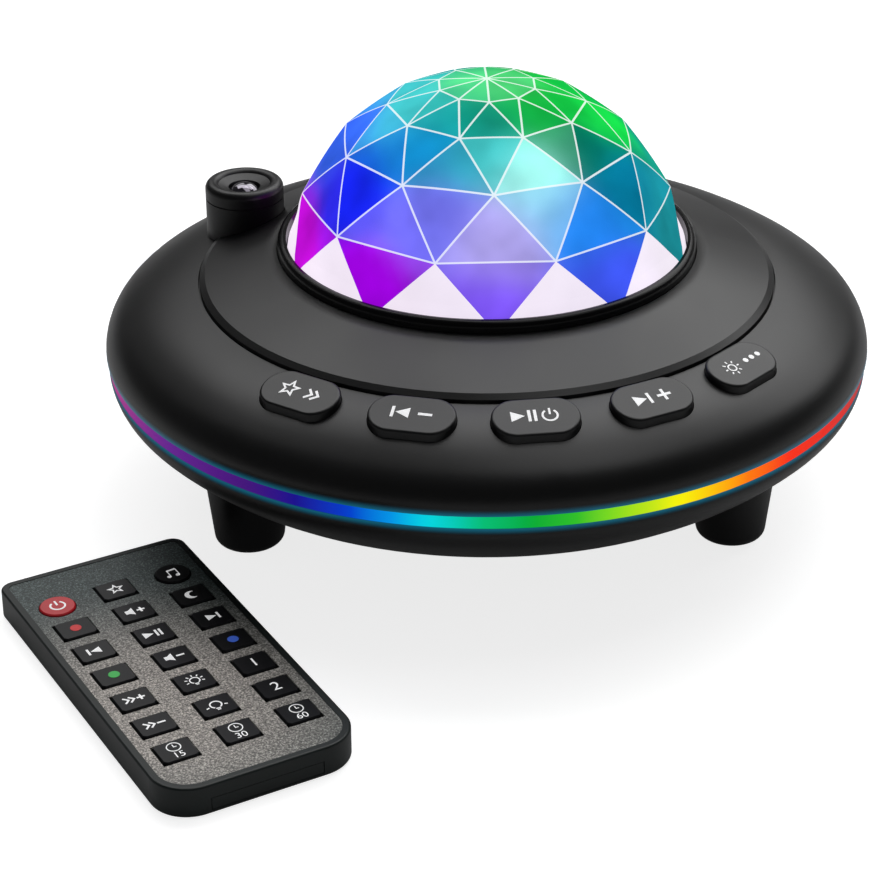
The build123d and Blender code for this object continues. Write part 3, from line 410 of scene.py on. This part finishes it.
# this shell material also carries a painted glow beside the light ring
shell_with_painted_glow = plastic("satin_black_shell_painted_ring_glow", **SATIN, edge=CROWN_EDGE)
paint_ring_glow(shell_with_painted_glow)
gloss_black = plastic("gloss_black_collar", linear(8, 8, 9), 0.26, grain_strength=0.02, specular=0.14)
button_black = plastic("button_black", linear(19, 19, 20), 0.36, grain_strength=0.05, specular=0.36)
rubber = plastic("pad_rubber", linear(20, 20, 20), 0.75)
lens_dark = coated_glass("lens_dark")
grey_inner = plastic("grey_inner_moulding", linear(150, 150, 152), 0.5)
clear_disc = plastic("clear_wavy_plastic", linear(205, 222, 232), 0.15, grain=400.0, grain_strength=0.6)
speaker_black = plastic("speaker_black", linear(28, 28, 28), 0.6)
remote_black = plastic("remote_case_plastic", linear(20, 27, 26), 0.42, specular=0.35)
key_black = plastic("key_black", linear(9, 9, 12), 0.32, grain_strength=0.05, specular=0.25)
key_red = plastic("key_red", linear(196, 30, 40), 0.3, grain_strength=0.05)
# the white ink has a painted glow, so that its marks show brighter than the lamps make them
white_ink_painted_glow = printed("white_ink_painted_glow", linear(252, 252, 252), lit=0.22)
red_ink = printed("red_ink", linear(225, 40, 45))
green_ink = printed("green_ink", linear(50, 190, 80))
blue_ink = printed("blue_ink", linear(60, 110, 235))
board_green = circuit("solder_mask")
brass = metal("turned_brass", linear(214, 170, 96), 0.3)
steel = metal("plated_steel", linear(190, 190, 192), 0.32)
aluminium = metal("plain_aluminium", linear(205, 207, 210), 0.38)
remote_foil = specks_and_painted_sheen("remote_foil_specks_painted_sheen")
rainbow_light = rainbow("rainbow_diffuser")

slot_materials = {
    "black_shell": black_shell,
    "gloss_black": gloss_black,
    "dome_facets": clear_disc,
    "light_diffuser": rainbow_light,
    "button_rubber": button_black,
    "pad_rubber": rubber,
    "lens_glass": lens_dark,
    "inner_plastic": grey_inner,
    "clear_plastic": clear_disc,
    "circuit_board": board_green,
    "brass": brass,
    "steel": steel,
    "aluminium": aluminium,
    "speaker_black": speaker_black,
    "remote_shell": remote_black,
    "remote_face": remote_foil,
    "key_black": key_black,
    "key_red": key_red,
}
own_materials = {
    "turret_cap": black_shell,
    "upper_shell": shell_with_painted_glow,
    "lower_shell": shell_with_painted_glow,
    "centre_panel": panel_black,
}
for entry in frame["record"]["subparts"]:
    node = frame["nodes"][entry["node"]]
    node.data.materials.clear()
    node.data.materials.append(own_materials.get(entry["node"], slot_materials[entry["material_slot"]]))


# ------------------------------------------------------------ faceted dome
GLOWS = (
    # azimuth from the camera, latitude, colour of the light there; the back repeats the front
    (-80, 14, (204, 16, 226)), (-36, 12, (156, 0, 220)), (0, 10, (104, 32, 240)), (36, 13, (66, 84, 246)),
    (80, 22, (30, 146, 156)), (-55, 38, (24, 36, 250)), (-18, 36, (118, 118, 250)), (4, 32, (190, 178, 255)),
    (32, 33, (30, 128, 232)), (60, 38, (6, 126, 164)), (-36, 56, (14, 138, 212)), (0, 57, (40, 198, 206)),
    (19, 49, (172, 252, 242)), (48, 53, (0, 100, 76)), (-30, 70, (0, 148, 126)), (3, 67, (0, 118, 86)),
    (38, 69, (14, 186, 60)), (0, 88, (92, 230, 136)), (-62, 66, (70, 200, 204)), (-84, 46, (56, 104, 244)),
    (86, 56, (22, 206, 70)),
)
GLOW_REACH = 9.5  # degrees over which a lamp's colour fades
LOCAL_SHARE = 0.4  # of the colour at a corner, beside its facet's own colour
TONE_RANGE = (0.8, 1.2)  # how much lighter or darker a facet may be
WHITE_BAND = Vector(linear(250, 240, 252))
BAND_TINT = 0.04  # share of the glow in the white band
SEAM_WHITE = Vector((0.84, 0.87, 0.89))
SEAM_TINT = 0.2
SEAM_GLOW = 1.5  # how much brighter the glow is in a seam than in a facet
FLAT_BULGE = 0.4  # share of the way from a flat facet out to the sphere
ROUND_BASE = 1.5  # millimetres above the dome's foot that lie on the sphere
ROUND_FADE = 4.0  # and over which that ends
DOME_CENTRE = Vector((0, 0, DOME_CENTRE_Z))
CAMERA_SIDE = direction(CAMERA_AZIMUTH, 0)
GLOW_LAMPS = [
    (direction(azimuth + CAMERA_AZIMUTH, latitude), Vector(linear(*colour)))
    for azimuth, latitude, colour in GLOWS
]


def glow_at(point):
    """The dome's colour in a direction: the lamps nearby, blended."""
    total = Vector((0, 0, 0))
    weights = 0.0
    depth = point.dot(CAMERA_SIDE)
    folded = point - CAMERA_SIDE * (depth - abs(depth))
    for lamp, colour in GLOW_LAMPS:
        angle = math.degrees(lamp.angle(folded))
        weight = math.exp(-((angle / GLOW_REACH) ** 2)) + 1e-6
        total += colour * weight
        weights += weight
    return total / weights


def dome_point(point, bulge):
    """A point of a flat facet, pushed out towards the dome's sphere."""
    arm = point - DOME_CENTRE
    return DOME_CENTRE + arm.lerp(arm.normalized() * DOME_R, bulge)


def build_dome():
    base_latitude = math.degrees(math.asin((DOME_BASE_Z - DOME_CENTRE_Z) / DOME_R))
    latitudes = (base_latitude,) + DOME_ROWS
    rows = []
    for row, latitude in enumerate(latitudes):
        turn = DOME_TURN + (row + 1) * 180 / FACETS_ROUND
        corners = [direction(turn + i * 360 / FACETS_ROUND, latitude) * DOME_R for i in range(FACETS_ROUND)]
        rows.append([corner + DOME_CENTRE for corner in corners])
    apex = Vector((0, 0, DOME_CENTRE_Z + DOME_R))
    facets = []
    for row in range(len(rows) - 1):
        low, high = rows[row], rows[row + 1]
        for i in range(FACETS_ROUND):
            after = (i + 1) % FACETS_ROUND
            facets.append((row, "up", (low[i], low[after], high[i])))
            facets.append((row, "down", (low[after], high[after], high[i])))
    for i in range(FACETS_ROUND):
        facets.append((len(rows) - 1, "up", (rows[-1][i], rows[-1][(i + 1) % FACETS_ROUND], apex)))

    chance = random.Random(7)
    builder = bmesh.new()
    colour_layer = builder.loops.layers.float_color.new("glow")

    def bulge_at(z):
        """Full at the dome's foot, so that it fills the collar, and less in the facets above."""
        low = min(max((DOME_BASE_Z + ROUND_BASE + ROUND_FADE - z) / ROUND_FADE, 0.0), 1.0)
        return FLAT_BULGE + (1 - FLAT_BULGE) * low

    def patch(corners, material_index, tint):
        """A triangle or a strip between two edges, as a grid that follows the dome."""
        triangle = len(corners) == 3
        grid = []
        for step in range(FACET_STEPS + 1):
            t = step / FACET_STEPS
            if triangle:
                left, right = corners[0].lerp(corners[2], t), corners[1].lerp(corners[2], t)
                count = FACET_STEPS - step
            else:
                left, right = corners[0].lerp(corners[1], t), corners[3].lerp(corners[2], t)
                count = 1
            line = [left.lerp(right, k / count) if count else left for k in range(count + 1)]
            grid.append([builder.verts.new(dome_point(p, bulge_at(p.z))) for p in line])
        for step in range(FACET_STEPS):
            first, second = grid[step], grid[step + 1]
            if triangle:
                for k in range(len(second)):
                    paint(builder.faces.new((first[k], first[k + 1], second[k])), material_index, tint)
                for k in range(len(second) - 1):
                    paint(builder.faces.new((first[k + 1], second[k + 1], second[k])), material_index, tint)
            else:
                paint(builder.faces.new((first[0], second[0], second[1], first[1])), material_index, tint)

    def paint(face, material_index, tint):
        face.material_index = material_index
        for loop in face.loops:
            colour = tint((loop.vert.co - DOME_CENTRE).normalized())
            loop[colour_layer] = (*colour, 1)

    def seam_tint(arm):
        return SEAM_WHITE.lerp(glow_at(arm) * SEAM_GLOW, SEAM_TINT)

    for row, way, corners in facets:
        middle = sum(corners, Vector()) / 3
        own = glow_at((middle - DOME_CENTRE).normalized()) * chance.uniform(*TONE_RANGE)
        pale = row == 0 and way == "up"

        def facet_tint(arm, own=own, pale=pale):
            local = glow_at(arm)
            return WHITE_BAND.lerp(local, BAND_TINT) if pale else own.lerp(local, LOCAL_SHARE)

        inner = []
        for index in range(3):
            here, after, before = corners[index], corners[(index + 1) % 3], corners[index - 1]
            to_after = (after - here).normalized()
            to_before = (before - here).normalized()
            half = math.acos(max(-1.0, min(1.0, to_after.dot(to_before)))) / 2
            inner.append(here + (to_after + to_before).normalized() * (SEAM_W / 2 / math.sin(half)))
        if row == 0:
            # the lowest band has a seam only along its upper edge
            if way == "up":
                patch(corners, 1, facet_tint)
            else:
                lower, right, left = corners
                drop_right = right.lerp(lower, SEAM_W / 2 / (right - lower).length)
                drop_left = left.lerp(lower, SEAM_W / 2 / (left - lower).length)
                patch((drop_left, drop_right, lower), 0, facet_tint)
                patch((left, right, drop_right, drop_left), 1, seam_tint)
            continue
        patch(tuple(inner), 0, facet_tint)
        for index in range(3):
            after = (index + 1) % 3
            patch((corners[index], corners[after], inner[after], inner[index]), 1, seam_tint)
    bmesh.ops.remove_doubles(builder, verts=builder.verts, dist=0.002)
    bmesh.ops.recalc_face_normals(builder, faces=builder.faces)
    return builder


facet_light = stored_light("dome_facet_light", depth=0.14, glow=0.84)
dome = new_object("dome_shell", build_dome(), facet_light, "projector", smooth=False)
dome.data.materials.append(stored_light("dome_seam_light", depth=0.03, glow=0.9))
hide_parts("dome")


# ------------------------------------------------------------ lens of the star projector
def build_lens():
    """A steep glass cap, flat underneath, in the bore where the CAD lens sits."""
    low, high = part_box("star_lens")
    middle = (low + high) / 2 / MM
    radius = (high.x - low.x) / 2 / MM
    foot, top = low.z / MM, high.z / MM
    sag = top - foot
    ball = (radius * radius + sag * sag) / (2 * sag)
    edge = math.asin(radius / ball)
    builder = bmesh.new()
    apex = builder.verts.new((middle.x, middle.y, top))
    rings = []
    for step in range(1, LENS_STEPS + 1):
        lean = edge * step / LENS_STEPS
        reach, z = ball * math.sin(lean), top - ball * (1 - math.cos(lean))
        rings.append([
            builder.verts.new((middle.x + reach * math.cos(a), middle.y + reach * math.sin(a), z))
            for a in (2 * math.pi * i / LENS_SIDES for i in range(LENS_SIDES))
        ])
    for i in range(LENS_SIDES):
        after = (i + 1) % LENS_SIDES
        builder.faces.new((apex, rings[0][i], rings[0][after]))
        for inner, outer in zip(rings, rings[1:]):
            builder.faces.new((inner[i], outer[i], outer[after], inner[after]))
    builder.faces.new(list(reversed(rings[-1])))
    bmesh.ops.recalc_face_normals(builder, faces=builder.faces)
    return builder


lens = new_object("star_lens_glass", build_lens(), lens_dark, "projector")
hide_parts("star_lens")


# ------------------------------------------------------------ flat marks, in millimetres
MARK_T = 0.05
MARK_GAP = 0.01  # under a mark
MOON_STEPS = 24


def circle(x, y, radius, angles):
    return [(x + radius * math.cos(angle), y + radius * math.sin(angle)) for angle in angles]


def sweep(start, end, count):
    """Angles from start to end, in count steps, all in degrees, as radians."""
    return [math.radians(start + (end - start) * i / count) for i in range(count + 1)]


class Marks:
    """Collects flat shapes, in millimetres on a plane, into one thin mesh."""

    def __init__(self):
        self.builder = bmesh.new()

    def polygon(self, points):
        low = [self.builder.verts.new((x, y, 0)) for x, y in points]
        high = [self.builder.verts.new((x, y, MARK_T)) for x, y in points]
        self.builder.faces.new(high)
        count = len(points)
        for i in range(count):
            after = (i + 1) % count
            self.builder.faces.new((low[i], low[after], high[after], high[i]))

    def disc(self, x, y, radius, count=28):
        self.polygon(circle(x, y, radius, sweep(0, 360, count)[:-1]))

    def stroke(self, points, width, closed=False):
        """A line of even width along the points."""
        count = len(points)
        left, right = [], []
        for i in range(count):
            here = Vector(points[i])
            ways = []
            if i or closed:
                ways.append((here - Vector(points[i - 1])).normalized())
            if i < count - 1 or closed:
                ways.append((Vector(points[(i + 1) % count]) - here).normalized())
            way = sum(ways, Vector((0, 0))).normalized()
            side = Vector((-way.y, way.x)) * width / 2
            if len(ways) == 2:
                side /= max(way.dot(ways[0]), 0.35)
            left.append(here + side)
            right.append(here - side)
        last = count if closed else count - 1
        for i in range(last):
            after = (i + 1) % count
            self.polygon([left[i], right[i], right[after], left[after]])

    def arc(self, x, y, radius, start, end, width):
        self.stroke(circle(x, y, radius, sweep(start, end, 24)), width)

    def ring(self, x, y, radius, width):
        self.stroke(circle(x, y, radius, sweep(0, 360, 32)[:-1]), width, closed=True)

    def rays(self, x, y, reaches, angles, width):
        """Short strokes that point away from a centre."""
        for angle in angles:
            self.stroke([circle(x, y, reach, [angle])[0] for reach in reaches], width)

    def digits(self, words, x, y, size):
        """Plain numbers, centred on a point."""
        curve = bpy.data.curves.new("digits", "FONT")
        curve.body = words
        curve.size = size
        curve.align_x = "CENTER"
        curve.align_y = "CENTER"
        text = bpy.data.objects.new("digits", curve)
        mesh = bpy.data.meshes.new_from_object(text)
        mesh.transform(Matrix.Translation((x, y, MARK_T)))
        self.builder.from_mesh(mesh)
        bpy.data.objects.remove(text)
        bpy.data.curves.remove(curve)
        bpy.data.meshes.remove(mesh)

    def place(self, body, origin, x_way, y_way, material):
        """Lays the marks on a body, along two directions of length 1."""
        turn = Matrix((x_way, y_way, x_way.cross(y_way))).transposed().to_4x4()
        bmesh.ops.transform(self.builder, matrix=Matrix.Translation(origin) @ turn, verts=self.builder.verts)
        bmesh.ops.recalc_face_normals(self.builder, faces=self.builder.faces)
        new_object(body + "_mark", self.builder, material, body, smooth=False)


def draw_triangle(marks, x, y, size, way):
    half = size / 2
    marks.polygon([(x - way * half, y + half), (x - way * half, y - half), (x + way * half, y)])


def draw_bar(marks, x, y, width, height):
    marks.polygon([
        (x - width / 2, y - height / 2), (x + width / 2, y - height / 2),
        (x + width / 2, y + height / 2), (x - width / 2, y + height / 2),
    ])


def draw_plus(marks, x, y, size, width):
    draw_bar(marks, x, y, size, width)
    draw_bar(marks, x, y, width, size)


def draw_change(marks, up, x, size, width):
    """A plus for up, and otherwise a minus."""
    if up:
        draw_plus(marks, x, 0, size, width)
    else:
        draw_bar(marks, x, 0, size, width)


def draw_power(marks, x, y, radius, width):
    marks.arc(x, y, radius, 125, 415, width)
    draw_bar(marks, x, y + radius * 0.72, width, radius * 1.15)


def draw_skip(marks, x, y, size, way):
    draw_triangle(marks, x - way * size * 0.1, y, size, way)
    draw_bar(marks, x + way * size * 0.62, y, size * 0.22, size * 1.05)


def draw_play_pause(marks, x, y, size):
    draw_triangle(marks, x - size * 0.62, y, size, 1)
    draw_bar(marks, x + size * 0.2, y, size * 0.22, size * 1.12)
    draw_bar(marks, x + size * 0.62, y, size * 0.22, size * 1.12)


def draw_star(marks, x, y, size):
    corners = []
    for i, angle in enumerate(sweep(90, 414, 9)):
        corners += circle(x, y, size * 0.45 if i % 2 else size, [angle])
    marks.stroke(corners, size * 0.2, closed=True)


def draw_moon(marks, x, y, size):
    """A crescent: strips between a circle and a smaller one shifted to the right."""
    small, shift = size * 0.8, size * 0.5
    meet = (size * size - small * small + shift * shift) / (2 * shift)
    sides = []
    for centre, radius, reach in ((x, size, meet), (x + shift, small, meet - shift)):
        tip = math.degrees(math.acos(reach / radius) + 0.05)  # blunt, so that no face shrinks to nothing
        sides.append(circle(centre, y, radius, sweep(tip, 360 - tip, MOON_STEPS)))
    outer, inner = sides
    for i in range(MOON_STEPS):
        marks.polygon([outer[i], outer[i + 1], inner[i + 1], inner[i]])


def draw_note(marks, x, y, size):
    for side in (-0.5, 0.5):
        marks.disc(x + side * size - size * 0.16, y - size * 0.6, size * 0.24, 16)
        draw_bar(marks, x + side * size + size * 0.04, y, size * 0.12, size * 1.3)
    marks.stroke([(x - 0.5 * size, y + size * 0.6), (x + 0.56 * size, y + size * 0.72)], size * 0.26)


def draw_speaker(marks, x, y, size):
    outline = ((-0.55, -0.28), (-0.2, -0.28), (0.25, -0.62), (0.25, 0.62), (-0.2, 0.28), (-0.55, 0.28))
    marks.polygon([(x + size * across, y + size * up) for across, up in outline])


def draw_bulb(marks, x, y, size, rays):
    marks.arc(x, y, size * 0.5, -60, 240, size * 0.13)
    draw_bar(marks, x, y - size * 0.56, size * 0.42, size * 0.12)
    draw_bar(marks, x, y - size * 0.76, size * 0.3, size * 0.12)
    marks.rays(x, y, (0.72 * size, size), sweep(-18, 198, rays - 1), size * 0.13)


def draw_sun(marks, x, y, size):
    marks.ring(x, y, size * 0.48, size * 0.16)
    marks.rays(x, y, (0.75 * size, 1.1 * size), sweep(0, 315, 7), size * 0.16)


def draw_chevrons(marks, x, y, size):
    for shift in (-0.3, 0.3):
        marks.stroke([
            (x + (shift - 0.25) * size, y + 0.5 * size), (x + (shift + 0.25) * size, y),
            (x + (shift - 0.25) * size, y - 0.5 * size),
        ], size * 0.2)


def draw_clock(marks, x, y, size):
    marks.ring(x, y, size, size * 0.16)
    marks.stroke([(x, y + size * 0.62), (x, y), (x + size * 0.45, y)], size * 0.15)


# ------------------------------------------------------------ marks on the five buttons
def button_marks(name, index, draw):
    """Marks on the button's tilted face; index counts from the middle button."""
    azimuth = index * BUTTON_PITCH
    tilt = math.radians(BUTTON_TILT)
    along = ring_vector(1, azimuth + 90)
    outward = ring_vector(1, azimuth)
    normal = outward * math.sin(tilt) + Vector((0, 0, math.cos(tilt)))
    marks = Marks()
    draw(marks)
    origin = ring_vector(BUTTON_RING_R, azimuth, BUTTON_FACE_Z) + normal * MARK_GAP
    marks.place(name, origin, along, normal.cross(along), white_ink_painted_glow)


def star_speed(marks):
    draw_star(marks, -2.6, 0, 2.0)
    draw_chevrons(marks, 3.0, 0, 2.6)


def previous_minus(marks):
    draw_skip(marks, -2.2, 0, 2.8, -1)
    draw_bar(marks, 2.7, 0, 2.9, 0.65)


def play_power(marks):
    draw_play_pause(marks, -1.9, 0, 2.8)
    draw_power(marks, 2.8, -0.15, 1.5, 0.42)


def next_plus(marks):
    draw_skip(marks, -2.3, 0, 2.8, 1)
    draw_plus(marks, 2.8, 0, 3.1, 0.62)


def led_mode(marks):
    draw_sun(marks, -3.0, 0, 1.9)
    for x in (1.6, 3.6, 5.6):
        marks.disc(x, 0, 0.62)


button_marks("button_star_speed", -2, star_speed)
button_marks("button_previous", -1, previous_minus)
button_marks("button_play", 0, play_power)
button_marks("button_next", 1, next_plus)
button_marks("button_led_mode", 2, led_mode)


# ------------------------------------------------------------ marks on the remote's keys
def key_marks(name, draw, material=white_ink_painted_glow):
    """Marks on top of a key, in line with the remote."""
    low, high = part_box(name)
    middle = (low + high) / 2 / MM
    marks = Marks()
    draw(marks)
    origin = Vector((middle.x, middle.y, high.z / MM + MARK_GAP))
    along, up_face = ring_vector(1, REMOTE_TURN + 90), ring_vector(1, REMOTE_TURN + 180)
    marks.place(name, origin, along, up_face, material)


def volume(marks, up):
    draw_speaker(marks, -0.8, 0, 2.2)
    draw_change(marks, up, 1.3, 1.7, 0.45)


def speed(marks, up):
    draw_chevrons(marks, -1.0, 0, 1.9)
    draw_change(marks, up, 1.4, 1.7, 0.42)


def timer(marks, minutes):
    draw_clock(marks, 0, 1.0, 1.35)
    marks.digits(minutes, 0, -1.75, 2.5)


key_marks("key_power", lambda m: draw_power(m, 0, -0.1, 1.5, 0.4))
key_marks("key_star", lambda m: draw_star(m, 0, 0, 1.5))
key_marks("key_sound", lambda m: draw_note(m, 0, 0, 1.9))
for name, ink in (("key_red", red_ink), ("key_green", green_ink), ("key_blue", blue_ink)):
    key_marks(name, lambda m: m.disc(0, 0, 1.15), ink)
key_marks("key_moon", lambda m: draw_moon(m, -0.2, 0, 1.4))
key_marks("key_previous", lambda m: draw_skip(m, 0, 0, 2.1, -1))
key_marks("key_play", lambda m: draw_play_pause(m, 0.1, 0, 2.1))
key_marks("key_next", lambda m: draw_skip(m, 0, 0, 2.1, 1))
for way in ("up", "down"):
    key_marks("key_volume_" + way, lambda m, way=way: volume(m, way == "up"))
for way in ("up", "down"):
    key_marks("key_speed_" + way, lambda m, way=way: speed(m, way == "up"))
key_marks("key_bright", lambda m: draw_bulb(m, 0, 0, 2.0, 7))
key_marks("key_dim", lambda m: draw_bulb(m, 0, 0.1, 2.3, 2))
for label in ("1", "2"):
    key_marks("key_mode_" + label, lambda m, label=label: m.digits(label, 0, 0, 4.0))
for label in ("15", "30", "60"):
    key_marks("key_timer_" + label, lambda m, label=label: timer(m, label))


# ------------------------------------------------------------ studio
FLOOR_HALF = 4000  # millimetres
FLOOR_DROP = 0.0002  # metres under the model, so that they don't share a plane
# the answers of Light Path, and what the floor and the world add for each, where 1 is white
RAYS = ("Is Camera Ray", "Is Transmission Ray", "Is Glossy Ray")
FLOOR_LIFT = (0.8, 0.8, 0.05)
WORLD_SEEN = (0.91, 0.91, 0.06)
WORLD_FILL = 0.16
LAMP_DISTANCE = 2.7  # metres
LAMP_AIM_Z = 0.04  # metres
LAMPS = (
    # name, azimuth, rise, size in metres, power in watts
    ("top_back_softbox", 170, 60, (3.3, 1.2), 38.0),
    ("back_right_softbox", 136, 36, (2.4, 1.2), 22.0),
    ("overhead_softbox", 118, 78, (2.1, 1.2), 14.0),
    ("back_left_softbox", -166, 34, (1.2, 0.9), 4.0),
)


def glow_for_rays(tree, path, levels):
    """The sum of the light path's answers, each at its own level."""
    total = None
    for ray, level in zip(RAYS, levels):
        share = maths(tree, "MULTIPLY", path.outputs[ray], level)
        total = share if total is None else maths(tree, "ADD", total, share)
    return total


def build_stage():
    builder = bmesh.new()
    bmesh.ops.create_grid(builder, x_segments=1, y_segments=1, size=FLOOR_HALF)
    mesh = bpy.data.meshes.new("floor")
    builder.to_mesh(mesh)
    builder.free()
    mesh.transform(Matrix.Scale(MM, 4))
    floor = bpy.data.objects.new("floor", mesh)
    floor.location.z = -FLOOR_DROP
    bpy.context.scene.collection.objects.link(floor)
    material, tree, shader = new_material("pale_floor")
    shader.inputs["Base Color"].default_value = (0.5, 0.5, 0.5, 1)
    shader.inputs["Roughness"].default_value = 0.9
    shader.inputs["Specular IOR Level"].default_value = 0.1
    lift = glow_for_rays(tree, tree.nodes.new("ShaderNodeLightPath"), FLOOR_LIFT)
    shader.inputs["Emission Color"].default_value = (1, 1, 1, 1)
    tree.links.new(lift, shader.inputs["Emission Strength"])
    mesh.materials.append(material)


def area_lamp(name, azimuth, rise, size, power):
    lamp = bpy.data.lights.new(name, "AREA")
    lamp.shape = "RECTANGLE"
    lamp.size, lamp.size_y = size
    lamp.energy = power
    thing = bpy.data.objects.new(name, lamp)
    place = direction(azimuth, rise) * LAMP_DISTANCE
    thing.location = place
    aim = Vector((0, 0, LAMP_AIM_Z)) - place
    thing.rotation_euler = aim.to_track_quat("-Z", "Y").to_euler()
    bpy.context.scene.collection.objects.link(thing)


def build_world():
    """Even fill from all round, and a backdrop that cameras see white and gloss sees dark."""
    world = bpy.data.worlds.new("studio")
    bpy.context.scene.world = world
    world.use_nodes = True
    tree = world.node_tree
    tree.nodes.clear()
    path = tree.nodes.new("ShaderNodeLightPath")
    fill = add_node(tree, "ShaderNodeBackground", Color=(0.9, 0.92, 0.95, 1), Strength=WORLD_FILL)
    seen = add_node(tree, "ShaderNodeBackground", Color=(1, 1, 1, 1))
    mix = tree.nodes.new("ShaderNodeMixShader")
    out = tree.nodes.new("ShaderNodeOutputWorld")
    tree.links.new(glow_for_rays(tree, path, (1.0, 1.0, 1.0)), mix.inputs["Fac"])
    tree.links.new(glow_for_rays(tree, path, WORLD_SEEN), seen.inputs["Strength"])
    tree.links.new(fill.outputs["Background"], mix.inputs[1])
    tree.links.new(seen.outputs["Background"], mix.inputs[2])
    tree.links.new(mix.outputs["Shader"], out.inputs["Surface"])


def build_camera():
    camera = bpy.data.cameras.new("camera")
    camera.lens = LENS
    camera.sensor_width = SENSOR_WIDTH
    camera.shift_x = SHIFT_X
    camera.shift_y = SHIFT_Y
    camera.clip_start = 0.01  # metres
    thing = bpy.data.objects.new("camera", camera)
    bpy.context.scene.collection.objects.link(thing)
    back = direction(CAMERA_AZIMUTH, CAMERA_RISE)
    target = Vector((0, 0, CAMERA_TARGET_Z)) * MM
    thing.location = target + back * CAMERA_DISTANCE * MM
    thing.rotation_euler = (-back).to_track_quat("-Z", "Y").to_euler()
    bpy.context.scene.camera = thing


build_stage()
build_world()
build_camera()
for lamp in LAMPS:
    area_lamp(*lamp)

bpy.context.scene.view_settings.view_transform = "Standard"
